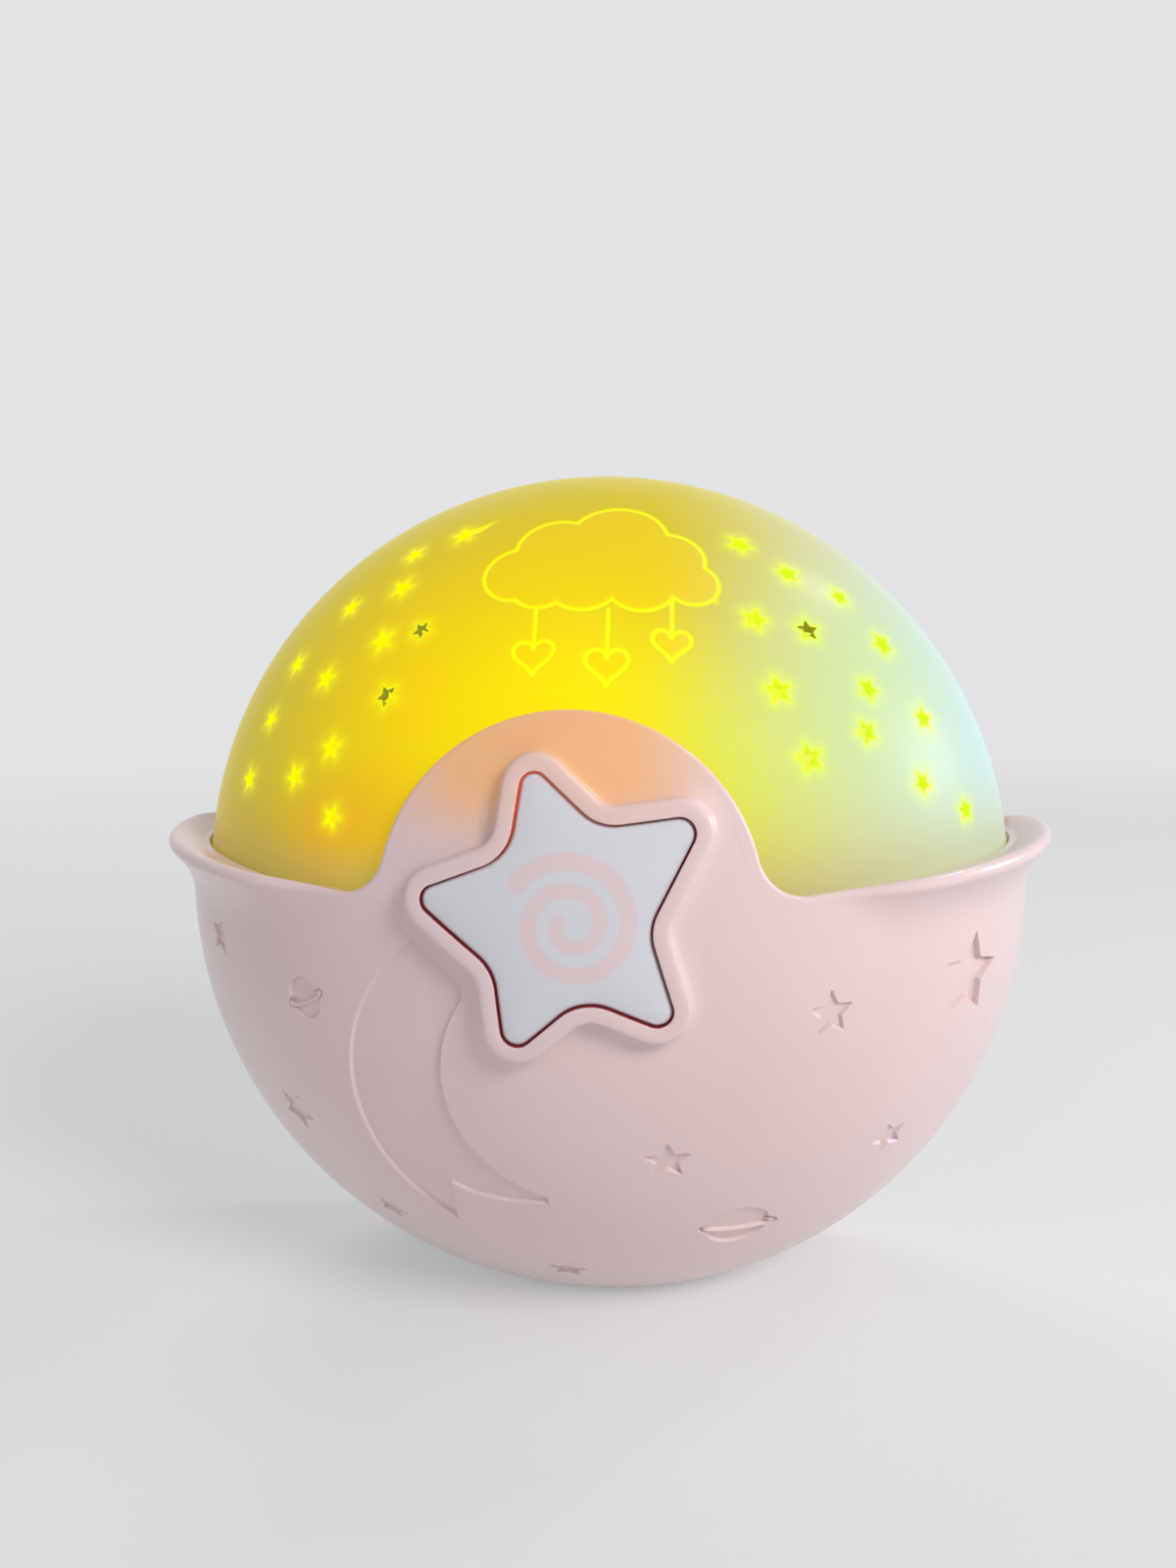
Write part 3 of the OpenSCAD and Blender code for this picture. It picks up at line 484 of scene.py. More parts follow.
def cut(obj, tool, operation="DIFFERENCE"):
    """Cuts a closed piece with another closed piece, which is used up"""
    apply_modifier(obj, "BOOLEAN", operation=operation, object=tool, solver="EXACT")
    bpy.data.objects.remove(tool, do_unlink=True)
    if len(obj.data.polygons) == 0:
        raise RuntimeError(f"{obj.name} was cut away")


def smooth(obj, degrees):
    only(obj)
    bpy.ops.object.shade_smooth_by_angle(angle=math.radians(degrees))


def block(name, points, way):
    """Closed block from a filled circle moved onto an outline and pushed along a way"""
    bpy.ops.object.select_all(action="DESELECT")
    bpy.ops.mesh.primitive_circle_add(vertices=len(points), radius=0.01, fill_type="NGON")
    obj = made(name)
    place(obj, points)
    pick(obj, faces=np.ones(1, bool))
    bpy.ops.mesh.extrude_region_move(TRANSFORM_OT_translate={"value": tuple(way)})
    close_outwards()
    return obj


def prism(name, outline, rear=BEHIND):
    """Block along Y through the front, from an outline of x and height"""
    points = np.stack([outline[:, 0], np.full(len(outline), AHEAD), outline[:, 1]], -1)
    return block(name, points, (0, rear - AHEAD, 0))


def moulding(name, sections, closed):
    """Grid moved onto a row of closed sections; closed joins the last one to the first, otherwise
    both are filled"""
    rows, across = sections.shape[:2]
    wrapped = np.concatenate([sections, sections[:, :1]], 1)
    if closed:
        wrapped = np.concatenate([wrapped, wrapped[:1]], 0)
        rows += 1
    bpy.ops.object.select_all(action="DESELECT")
    bpy.ops.mesh.primitive_grid_add(x_subdivisions=across, y_subdivisions=rows - 1, size=0.1)
    obj = made(name)
    if len(obj.data.vertices) != rows * (across + 1):
        raise RuntimeError(f"{name}: the grid has {len(obj.data.vertices)} vertices")
    place(obj, wrapped.reshape(-1, 3))
    pick(obj, verts=np.ones(len(obj.data.vertices), bool))
    bpy.ops.mesh.remove_doubles(threshold=2e-6)
    if not closed:
        bpy.ops.mesh.fill_holes(sides=0)
    close_outwards()
    return obj


def cap_shell(name, cap, grow, wall):
    """Sphere whose front half is moved onto the cap's face, with a skirt, and given a wall"""
    bpy.ops.object.select_all(action="DESELECT")
    bpy.ops.mesh.primitive_uv_sphere_add(segments=CAP_SEGMENTS, ring_count=2 * CAP_RINGS, radius=1)
    obj = made(name)
    step = math.pi / 2 / CAP_RINGS
    tilt = np.arccos(np.clip(coords(obj)[:, 2], -1, 1))
    pick(obj, verts=tilt > math.pi / 2 + 1.5 * step)
    bpy.ops.mesh.delete(type="VERT")
    close_edit()
    ball = coords(obj)
    tilt = np.arccos(np.clip(ball[:, 2], -1, 1))
    bearing = np.arctan2(ball[:, 1], ball[:, 0])
    face = cap.at(np.minimum(tilt, math.pi / 2), bearing, grow)
    face[:, 1] = np.where(tilt > math.pi / 2 + step / 2, SEAM_Y, face[:, 1])
    place(obj, face)
    apply_modifier(obj, "SOLIDIFY", thickness=wall, offset=-1, use_even_offset=True)
    return obj


def outer_points(obj, cap, grow, slack=2e-5):
    """Which vertices lie on the shell's outer face, in front of its skirt"""
    p = coords(obj)
    away = np.linalg.norm(p - cap.on(p, grow), axis=1)
    return (away < slack) & (p[:, 1] < SEAM_Y - 1e-4)


def refine(obj, cap, grow, near, reaches):
    """Subdivides the outer face near a form, once for each reach"""
    for reach in reaches:
        centre = middles(obj)
        away = np.linalg.norm(centre - cap.on(centre, grow), axis=1)
        wanted = (away < 4e-5) & (centre[:, 1] < SEAM_Y - 1e-3)
        wanted[wanted] = near(centre[wanted]) < reach
        pick(obj, faces=wanted)
        bpy.ops.mesh.subdivide(number_cuts=1)
        close_edit()
        outer = outer_points(obj, cap, grow, 4e-5)
        p = coords(obj)
        p[outer] = cap.on(p[outer], grow)
        place(obj, p)


def cylinder_y(name, x, z, radius, front, rear):
    """Closed rod along Y"""
    bpy.ops.object.select_all(action="DESELECT")
    bpy.ops.mesh.primitive_cylinder_add(
        vertices=32, radius=radius, depth=rear - front,
        location=(x, (front + rear) / 2, z), rotation=(math.pi / 2, 0, 0))
    obj = made(name)
    bpy.ops.object.transform_apply(location=True, rotation=True, scale=True)
    return obj


def join(target, others):
    bpy.ops.object.select_all(action="DESELECT")
    for other in others:
        other.select_set(True)
    target.select_set(True)
    bpy.context.view_layer.objects.active = target
    bpy.ops.object.join()
    return target


def attribute(obj, name, values):
    layer = obj.data.attributes.new(name, "FLOAT", "POINT")
    layer.data.foreach_set("value", np.ascontiguousarray(values, np.float32))


# Forms sunk into the bowl and engraved in the dome

def figure_distance(p, cap, grow):
    """Signed distance of points on the bowl from the sunk moon, stars and planets"""
    x, h = p[:, 0] / MM, (p[:, 2] - cap.mid) / MM
    flat = np.stack([x, h], -1)
    outer = np.hypot(x - MOON_OUTER[0], h - MOON_OUTER[1]) - MOON_OUTER[2]
    inner = MOON_INNER[2] - np.hypot(x - MOON_INNER[0], h - MOON_INNER[1])
    notch = -outline_distance(flat, np.array(MOON_NOTCH, float))
    best = np.maximum.reduce([outer, inner, notch, x - MOON_RIGHT])
    star_distance(best, p, cap, grow, SUNK_STARS)
    for bearing, tilt, radius, turn in SUNK_PLANETS:
        near, flat = tangent(p, cap, grow, bearing, tilt, 3.5 * radius)
        if near.any():
            a = math.radians(turn)
            u = flat[:, 0] * math.cos(a) + flat[:, 1] * math.sin(a)
            v = flat[:, 1] * math.cos(a) - flat[:, 0] * math.sin(a)
            globe = np.hypot(u, v) - radius
            ring = ellipse_distance(u, v, 1.34 * radius, 0.4 * radius)
            ridge = np.abs(ellipse_distance(u, v, 1.16 * radius, 0.24 * radius))
            ridge = np.where(v < 0.1 * radius, ridge, 9)
            away = np.maximum(np.minimum(globe, ring), 0.45 - ridge)
            best[near] = np.minimum(best[near], away)
    return best


def ellipse_distance(u, v, wide, tall):
    k = np.hypot(u / wide, v / tall)
    slope = np.hypot(u / wide**2, v / tall**2)
    return k * (k - 1) / np.maximum(slope, 1e-9)


def tangent(p, cap, grow, bearing, tilt, reach):
    """Which points lie near a place on the face, and their places in its plane, in millimetres"""
    middle, across, up, _ = cap.axes(bearing, tilt, grow)
    off = (p - middle) / MM
    near = np.linalg.norm(off, axis=1) < reach
    return near, np.stack([off[near] @ across, off[near] @ up], -1)


def star_distance(best, p, cap, grow, stars, least_reach=0):
    """Lowers signed distances where a star on the face is nearer, in millimetres"""
    for bearing, tilt, radius, turn in stars:
        near, flat = tangent(p, cap, grow, bearing, tilt, max(2.5 * radius, least_reach))
        if near.any():
            away = outline_distance(flat, star_outline(radius, turn))
            best[near] = np.minimum(best[near], away)
    return best


def hole_distance(p, cap):
    """Signed distance of points on the dome from the nearest star hole, in millimetres"""
    return star_distance(np.full(len(p), 99.0), p, cap, 0, HOLES, 14)


def cloud_distance(p, cap):
    """Distance of points on the dome from the engraved lines, and signed from the cloud"""
    line = np.full(len(p), 99.0)
    inside = np.full(len(p), 99.0)
    near, flat = tangent(p, cap, 0, *CLOUD_AT, 48)
    if near.any():
        u, v = flat.T
        cloud = np.min([np.hypot(u - a, v - b) - r for a, b, r in CLOUD_LOBES], 0)
        forms = [np.abs(cloud)]
        solid = cloud
        for a, top, low, radius in HANGING_HEARTS:
            string = np.hypot(u - a, np.maximum(np.maximum(low + 0.6 * radius - v, v - top), 0))
            heart = outline_distance(flat - (a, low), heart_outline(radius))
            forms += [string, np.abs(heart)]
            solid = np.minimum(solid, heart)
        line[near] = np.min(forms, 0)
        inside[near] = solid
    near, flat = tangent(p, cap, 0, *COMET[:2], 2 * COMET[2])
    if near.any():
        along, aside = np.array(COMET_WAY), np.array([COMET_WAY[1], -COMET_WAY[0]])
        run = np.clip((flat @ along - COMET_START) / COMET[2], 0, 1)[:, None]
        bow = 0.9 * np.sin(run * math.pi)
        off = flat - (COMET_START + run * COMET[2]) * along - bow * aside
        tail = np.linalg.norm(off, axis=1) - COMET[3] * (1 - run[:, 0]) + 0.3
        line[near] = np.minimum(line[near], np.maximum(tail, 0))
    return line, inside


# Shader groups and finishes

def node_group(name, inputs, outputs):
    """Empty shader node group; an input's kind follows from its default"""
    group = bpy.data.node_groups.new(name, "ShaderNodeTree")
    for label, default in inputs.items():
        size = np.size(default)
        kind = {1: "NodeSocketFloat", 3: "NodeSocketVector", 4: "NodeSocketColor"}[size]
        socket = group.interface.new_socket(label, in_out="INPUT", socket_type=kind)
        socket.default_value = default
    for label, kind in outputs.items():
        group.interface.new_socket(label, in_out="OUTPUT", socket_type=kind)
    inside, out = group.nodes.new("NodeGroupInput"), group.nodes.new("NodeGroupOutput")
    return Nodes(group), inside.outputs, out.inputs


class Nodes:
    """Short way to add and link nodes of one tree"""

    def __init__(self, tree):
        self.tree = tree

    def add(self, kind, *links, **values):
        node = self.tree.nodes.new(kind)
        for key, value in values.items():
            setattr(node, key, value)
        for socket, source in zip(node.inputs, links):
            self.feed(socket, source)
        return node

    def feed(self, socket, source):
        if source is None:
            return
        if isinstance(source, bpy.types.NodeSocket):
            self.tree.links.new(source, socket)
        else:
            socket.default_value = source

    def math(self, operation, *values):
        return self.add("ShaderNodeMath", *values, operation=operation).outputs[0]

    def times(self, one, two):
        return self.math("MULTIPLY", one, two)

    def plus(self, one, two):
        return self.math("ADD", one, two)

    def minus(self, one, two):
        return self.math("SUBTRACT", one, two)

    def scaled(self, vector, by):
        node = self.add("ShaderNodeVectorMath", vector, operation="SCALE")
        self.feed(node.inputs["Scale"], by)
        return node.outputs[0]

    def distance(self, one, two):
        node = self.add("ShaderNodeVectorMath", one, two, operation="DISTANCE")
        return node.outputs["Value"]

    def attribute(self, name):
        return self.add("ShaderNodeAttribute", attribute_name=name).outputs["Fac"]

    def shared(self, name, **values):
        """Outputs of a shared node group, which is built once, with this material's own values"""
        group = bpy.data.node_groups.get(name) or GROUPS[name](name)
        node = self.add("ShaderNodeGroup", node_tree=group)
        for label, value in values.items():
            self.feed(node.inputs[label], value)
        return node.outputs

    def mix(self, factor, one, two):
        node = self.add("ShaderNodeMix", data_type="RGBA")
        for name, value in (("Factor_Float", factor), ("A_Color", one), ("B_Color", two)):
            self.feed(next(s for s in node.inputs if s.identifier == name), value)
        return next(s for s in node.outputs if s.identifier == "Result_Color")

    def noise(self, vector, scale, detail):
        node = self.add("ShaderNodeTexNoise", vector)
        self.feed(node.inputs["Scale"], scale)
        node.inputs["Detail"].default_value = detail
        return node.outputs["Fac"]

    def range(self, value, low, high, to_low=0.0, to_high=1.0, smoothly=True):
        node = self.add("ShaderNodeMapRange", value, low, high, to_low, to_high)
        if smoothly:
            node.interpolation_type = "SMOOTHSTEP"
        return node.outputs[0]


def moulded_group(name):
    """Fine grain, slight flow marks and uneven gloss of moulded plastic"""
    n, inside, out = node_group(
        name,
        {"Vector": (0, 0, 0), "Grain": 900.0, "Gloss": 0.4, "Spread": 0.12,
         "Colour": (0.8, 0.8, 0.8, 1), "Mottle": 0.06},
        {"Colour": "NodeSocketColor", "Roughness": "NodeSocketFloat",
         "Height": "NodeSocketFloat"})
    grain = n.noise(inside["Vector"], inside["Grain"], 3)
    broad = n.noise(inside["Vector"], 22.0, 3)
    flow = n.noise(inside["Vector"], 70.0, 2)
    n.feed(out["Height"], n.plus(grain, n.times(flow, 0.8)))
    wander = n.minus(n.plus(broad, n.times(flow, 0.5)), 0.75)
    n.feed(out["Roughness"], n.plus(inside["Gloss"], n.times(wander, inside["Spread"])))
    tone = n.plus(1.0, n.times(wander, inside["Mottle"]))
    n.feed(out["Colour"], n.scaled(inside["Colour"], tone))
    return n.tree


def spot_group(name):
    """Soft round spot: one at its middle, zero past its reach"""
    n, inside, out = node_group(
        name, {"Vector": (0, 0, 0), "Middle": (0, 0, 0), "Reach": 0.1},
        {"Spot": "NodeSocketFloat"})
    share = n.math("DIVIDE", n.distance(inside["Vector"], inside["Middle"]), inside["Reach"])
    n.feed(out["Spot"], n.range(share, 0.0, 1.0, 1.0, 0.0))
    return n.tree


def spiral_group(name):
    """Print mask of a band that winds inwards clockwise from the upper left, round at its ends"""
    n, inside, out = node_group(
        name, {"Vector": (0, 0, 0), "Middle": (0, 0, 0), "Radius": 0.01285, "Pitch": 0.00535},
        {"Mask": "NodeSocketFloat"})
    begin, laps, soft = math.radians(143), 1.95, 0.00007
    radius, pitch = inside["Radius"], inside["Pitch"]
    off = n.add("ShaderNodeVectorMath", inside["Vector"], inside["Middle"], operation="SUBTRACT")
    split = n.add("ShaderNodeSeparateXYZ", off.outputs[0])
    x, z = split.outputs["X"], split.outputs["Z"]
    r = n.math("SQRT", n.plus(n.times(x, x), n.times(z, z)))
    turned = n.math("DIVIDE", n.minus(begin, n.math("ARCTAN2", z, x)), 2 * math.pi)
    turned = n.math("FRACT", n.plus(turned, 1.0))
    inwards = n.minus(radius, r)
    lap = n.math("ROUND", n.minus(n.math("DIVIDE", inwards, pitch), turned))
    run = n.plus(turned, lap)
    away = n.math("ABSOLUTE", n.minus(inwards, n.times(run, pitch)))
    half = n.plus(0.0012, n.times(n.math("DIVIDE", r, radius), 0.0006))
    band = n.range(n.minus(away, half), -soft, soft, 1.0, 0.0)
    on = n.times(n.math("GREATER_THAN", run, -0.0001), n.math("LESS_THAN", run, laps))
    mask = n.times(band, on)
    level = n.add("ShaderNodeCombineXYZ", x, None, z).outputs[0]
    for share, size in ((0.0, 0.0018), (laps, 0.00132)):
        angle = begin - 2 * math.pi * share
        reach = n.minus(radius, n.times(share, pitch))
        end = n.scaled((math.cos(angle), 0, math.sin(angle)), reach)
        end_mask = n.range(n.distance(level, end), size - soft, size + soft, 1.0, 0.0)
        mask = n.math("MAXIMUM", mask, end_mask)
    n.feed(out["Mask"], mask)
    return n.tree


GROUPS = {"Moulded Surface": moulded_group, "Light Spot": spot_group, "Spiral Print": spiral_group}


def finish_base(name):
    """New material with its shader, its nodes and its Object coordinates"""
    material = bpy.data.materials.new(name)
    material.use_nodes = True
    n = Nodes(material.node_tree)
    shader = material.node_tree.nodes["Principled BSDF"]
    where = n.add("ShaderNodeTexCoord").outputs["Object"]
    return material, n, shader, where


def moulded(n, shader, where, colour, gloss, grain=900.0, spread=0.12, mottle=0.06, bump=0.02,
            coat=None):
    """Adds the moulded surface to a shader; coat is a clear coat's weight and roughness"""
    surface = n.shared("Moulded Surface", Vector=where, Grain=grain, Gloss=gloss, Spread=spread,
                       Colour=colour, Mottle=mottle)
    n.feed(shader.inputs["Base Color"], surface["Colour"])
    n.feed(shader.inputs["Roughness"], surface["Roughness"])
    raised = n.add("ShaderNodeBump")
    raised.inputs["Strength"].default_value = bump
    raised.inputs["Distance"].default_value = 0.0005
    n.feed(raised.inputs["Height"], surface["Height"])
    n.feed(shader.inputs["Normal"], raised.outputs[0])
    if coat:
        shader.inputs["Coat Weight"].default_value = coat[0]
        shader.inputs["Coat Roughness"].default_value = coat[1]


def glowing(n, shader, colour, strength=1.0):
    """Gives a shader light of its own, of a colour or of a socket's colour"""
    n.feed(shader.inputs["Emission Color"], colour)
    shader.inputs["Emission Strength"].default_value = strength


def spot(n, where, middle, reach):
    return n.shared("Light Spot", Vector=where, Middle=middle, Reach=reach)["Spot"]


def lamp_light(n, where, colours):
    """Light inside the dome: yellow on the left, lime on the right"""
    across = n.add("ShaderNodeSeparateXYZ", where).outputs["X"]
    return n.mix(n.range(across, -0.015, 0.06), colours.star, colours.star_right)


# Weight and roughness of the clear coat on the pink plastic
PINK_COAT = (0.6, 0.19)


def pink_plastic(colours, mid):
    """Satin pink plastic, warm where lamp light comes through it, with a painted shade and a painted
    red glow in the gap round the button
    """
    material, n, shader, where = finish_base("pink_plastic")
    split = n.add("ShaderNodeSeparateXYZ", where)
    aside = n.math("ABSOLUTE", n.plus(split.outputs["X"], 0.004))
    thick = n.attribute("thick")
    lit = n.times(n.range(split.outputs["Z"], mid + 0.017, mid + 0.034),
                  n.range(aside, 0.014, 0.038, 1.0, 0.0))
    lit = n.times(lit, n.range(split.outputs["Y"], -0.074, -0.064, 1.0, 0.0))
    lit = n.times(lit, n.minus(1.0, n.times(thick, 0.75)))
    # Gap round the button: its dark red is a painted shade, and it gets a painted red glow that is
    # brightest near the top
    gap = n.attribute("gap")
    colour = n.mix(n.times(lit, 0.9), colours.bowl, colours.warm)
    colour = n.mix(gap, colour, (0.24, 0.04, 0.04, 1))
    moulded(n, shader, where, colour, 0.36, coat=PINK_COAT)
    glow = n.mix(n.times(lit, 0.12), (0, 0, 0, 1), colours.warm)
    hot = spot(n, where, (-0.008, -0.078, mid + 0.036), 0.03)
    glow = n.mix(gap, glow, n.mix(hot, (0.05, 0.003, 0.005, 1), (0.5, 0.07, 0.02, 1)))
    glowing(n, shader, glow)
    return material


def rear_plastic(colours, mid):
    """Pink plastic of the rear cover, lit by the lamps on the faces that close the lamp chamber"""
    material, n, shader, where = finish_base("rear_plastic")
    split = n.add("ShaderNodeSeparateXYZ", where)
    x, y, h = split.outputs["X"], split.outputs["Y"], n.minus(split.outputs["Z"], mid)
    pocket = n.times(n.math("COMPARE", n.math("ABSOLUTE", x), 0.06, 0.0104),
                     n.math("COMPARE", h, 0.034, 0.0179))
    depth = n.minus(0.0124, n.times(pocket, 0.0083))
    r = n.math("SQRT", n.plus(n.times(x, x), n.times(h, h)))
    within = n.times(n.math("LESS_THAN", r, 0.093), n.math("GREATER_THAN", h, 0.004))
    chamber = n.times(n.math("LESS_THAN", y, depth), within)
    moulded(n, shader, where, colours.bowl, 0.36, coat=PINK_COAT)
    light = lamp_light(n, where, colours)
    glowing(n, shader, n.mix(n.times(chamber, 0.75), (0, 0, 0, 1), light))
    return material


def lit_white(colours):
    """White plastic of the lamp chamber, bright with the lamps' light"""
    material, n, shader, where = finish_base("lit_white")
    moulded(n, shader, where, (0.5, 0.48, 0.25, 1), 0.5)
    glowing(n, shader, lamp_light(n, where, colours), 0.8)
    return material


def lit_dome(colours, mid):
    """Translucent plastic lit from inside, brightest at the star holes and engraved lines"""
    material, n, shader, where = finish_base("lit_dome")
    split = n.add("ShaderNodeSeparateXYZ", where)
    right = n.range(split.outputs["X"], 0.012, 0.098)
    # Painted shade: lower on the dome the glow turns to the darker foot colours
    low = n.times(n.range(split.outputs["Z"], mid + 0.010, mid + 0.036, 1.0, 0.0), 0.8)
    tone = n.mix(right, colours.gold, colours.cool)
    tone = n.mix(low, tone, n.mix(right, colours.gold_low, colours.cool_low))
    for middle, reach, share, colour in (
            ((-0.026, -0.074, mid + 0.052), 0.07, 1.0, colours.amber),
            ((0.004, -0.085, mid + 0.047), 0.05, 0.95, colours.yellow),
            ((0.036, -0.075, mid + 0.036), 0.036, 0.6, colours.lime),
            ((0.060, -0.052, mid + 0.050), 0.05, 0.55, colours.lime_pale),
            ((-0.054, -0.063, mid + 0.020), 0.018, 0.5, colours.ember),
            ((-0.043, -0.070, mid + 0.026), 0.017, 0.45, colours.ember)):
        tone = n.mix(n.times(spot(n, where, middle, reach), share), tone, colour)
    # Painted shade: nearest the rim the glow darkens further
    foot = n.times(n.range(split.outputs["Z"], mid + 0.008, mid + 0.022, 1.0, 0.0), 0.5)
    tone = n.mix(foot, tone, n.mix(right, (0.46, 0.40, 0.14, 1), colours.cool_low))
    tone = n.mix(n.times(n.attribute("fill"), 0.4), tone, colours.amber)
    bright = n.math("MAXIMUM", n.attribute("halo"), n.times(n.attribute("line"), 0.9))
    tone = n.mix(bright, tone, lamp_light(n, where, colours))
    # Painted shade on the marked holes' walls and edges
    tone = n.mix(n.attribute("dark"), tone, (0.30, 0.31, 0.02, 1))
    moulded(n, shader, where, n.scaled(tone, 0.5), 0.3, spread=0.1, mottle=0.03, bump=0.006)
    shader.inputs["Specular IOR Level"].default_value = 0.12
    # Painted shade: the glow is lowered where the face turns away from the view, towards the dome's
    # outline
    edge = n.add("ShaderNodeLayerWeight").outputs["Facing"]
    level = n.plus(0.61, n.times(bright, 0.1))
    level = n.minus(level, n.times(edge, 0.12))
    glowing(n, shader, n.scaled(tone, level))
    return material


def button_plastic(colours, mid):
    """Glossy pale plastic with the pink spiral printed on it"""
    material, n, shader, where = finish_base("button_plastic")
    spiral = n.shared("Spiral Print", Vector=where, Middle=(0.0017, 0.0, mid + 0.0064))["Mask"]
    ahead = n.add("ShaderNodeSeparateXYZ", where).outputs["Y"]
    mask = n.times(spiral, n.math("LESS_THAN", ahead, -0.07))
    colour = n.mix(n.times(mask, 0.75), colours.button, colours.spiral)
    moulded(n, shader, where, colour, 0.13, grain=500.0, spread=0.08, mottle=0.03, bump=0.004,
            coat=(0.5, 0.06))
    return material


def plain_plastic(name, colour, gloss, metallic=0.0, glow=None, strength=0.0):
    material, n, shader, where = finish_base(name)
    moulded(n, shader, where, colour, gloss, spread=0.15, mottle=0.1, bump=0.03)
    shader.inputs["Metallic"].default_value = metallic
    if glow:
        glowing(n, shader, glow, strength)
    return material


def board_green():
    """Solder mask with copper runs showing through"""
    material, n, shader, where = finish_base("board_green")
    runs = n.add("ShaderNodeTexBrick", where)
    runs.inputs["Scale"].default_value = 220
    runs.inputs["Mortar Size"].default_value = 0.03
    mask = n.minus(1.0, runs.outputs["Fac"])
    colour = n.mix(n.times(mask, 0.6), (0.07, 0.27, 0.13, 1), (0.03, 0.16, 0.07, 1))
    moulded(n, shader, where, colour, 0.28, mottle=0.1)
    return material


def plated_steel():
    """Plated steel with fine drawn marks"""
    material, n, shader, where = finish_base("plated_steel")
    drawn = n.add("ShaderNodeMapping", where)
    drawn.inputs["Scale"].default_value = (1, 12, 1)
    marks = n.noise(drawn.outputs[0], 500.0, 3)
    moulded(n, shader, where, n.mix(marks, (0.62, 0.62, 0.63, 1), (0.78, 0.78, 0.79, 1)), 0.28)
    shader.inputs["Metallic"].default_value = 1.0
    return material


def cell_sleeve(low, high):
    """Dry cell's sleeve: green body, pale band and copper top"""
    material, n, shader, where = finish_base("cell_sleeve")
    height = n.add("ShaderNodeSeparateXYZ", where).outputs["Z"]
    third = n.math("GREATER_THAN", height, low + (high - low) * 0.72)
    band = n.math("GREATER_THAN", height, low + (high - low) * 0.69)
    colour = n.mix(band, (0.05, 0.22, 0.10, 1), (0.75, 0.75, 0.72, 1))
    colour = n.mix(third, colour, (0.62, 0.36, 0.16, 1))
    moulded(n, shader, where, colour, 0.3)
    shader.inputs["Metallic"].default_value = 0.4
    return material


def seen_directly(n):
    """One for rays from the camera, or from it by way of a mirror or clear material"""
    rays = n.add("ShaderNodeLightPath").outputs
    return n.math("MAXIMUM", rays["Is Camera Ray"],
                  n.math("MAXIMUM", rays["Is Glossy Ray"], rays["Is Transmission Ray"]))


def set_finish(obj, material):
    obj.data.materials.clear()
    obj.data.materials.append(material)


def dress(nodes, material):
    """Gives carried-over CAD nodes a finish"""
    for name in nodes:
        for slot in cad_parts[name].material_slots:
            slot.material = material


def scene_values(context):
    sizes = context.scene.nightlight_sizes
    return sizes, context.scene.nightlight_colours, Cap(sizes)


def finish(build, *values):
    """Finish that several pieces share, made once by the function of its name"""
    return bpy.data.materials.get(build.__name__) or build(*values)


class NIGHTLIGHT_OT_bowl(bpy.types.Operator):
    """Model the pink bowl with its flat foot, star opening and sunk figures"""

    bl_idname = "nightlight.bowl"
    bl_label = "Bowl"

    def execute(self, context):
        sizes, colours, cap = scene_values(context)
        grow = sizes.bowl_grow
        bowl = cap_shell("bowl", cap, grow, sizes.bowl_wall)
        cut(bowl, prism("above_rim", area_outline(sizes, 0.002, 0.16) + (0, cap.mid)))
        opening = button_outline(0.0018) + (0, cap.mid + sizes.button_height)
        cut(bowl, prism("star_opening", opening, -0.03))
        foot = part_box("front_shell")[0].z
        for level in (foot, foot + sizes.bowl_wall):
            pick(bowl, faces=np.ones(len(bowl.data.polygons), bool))
            bpy.ops.mesh.bisect(plane_co=(0, 0, level), plane_no=(0, 0, 1))
            close_edit()
        p = coords(bowl)
        inner = np.linalg.norm(p - cap.on(p, grow - sizes.bowl_wall), axis=1) < 2e-4
        p[:, 2] = np.maximum(p[:, 2], np.where(inner, foot + sizes.bowl_wall, foot))
        place(bowl, p)
        refine(bowl, cap, grow, lambda c: np.abs(figure_distance(c, cap, grow)) * MM,
               (0.0026, 0.0014, 0.0009, 0.0006))
        outer = outer_points(bowl, cap, grow)
        p = coords(bowl)
        away = figure_distance(p[outer], cap, grow)
        depth = sizes.figure_depth * smooth_step(0.25, -0.25, away)
        big = cap.axes(*SUNK_STARS[-1][:2], grow)[0]
        in_big = np.linalg.norm(p[outer] - big, axis=1) < BIG_STAR_REACH
        depth *= np.where(in_big, BIG_STAR_DEPTH, 1)
        p[outer] -= cap.normal(p[outer]) * depth[:, None]
        place(bowl, p)
        smooth(bowl, 40)
        set_finish(bowl, finish(pink_plastic, colours, cap.mid))
        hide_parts("front_shell")
        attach(bowl, "housing")
        return {"FINISHED"}


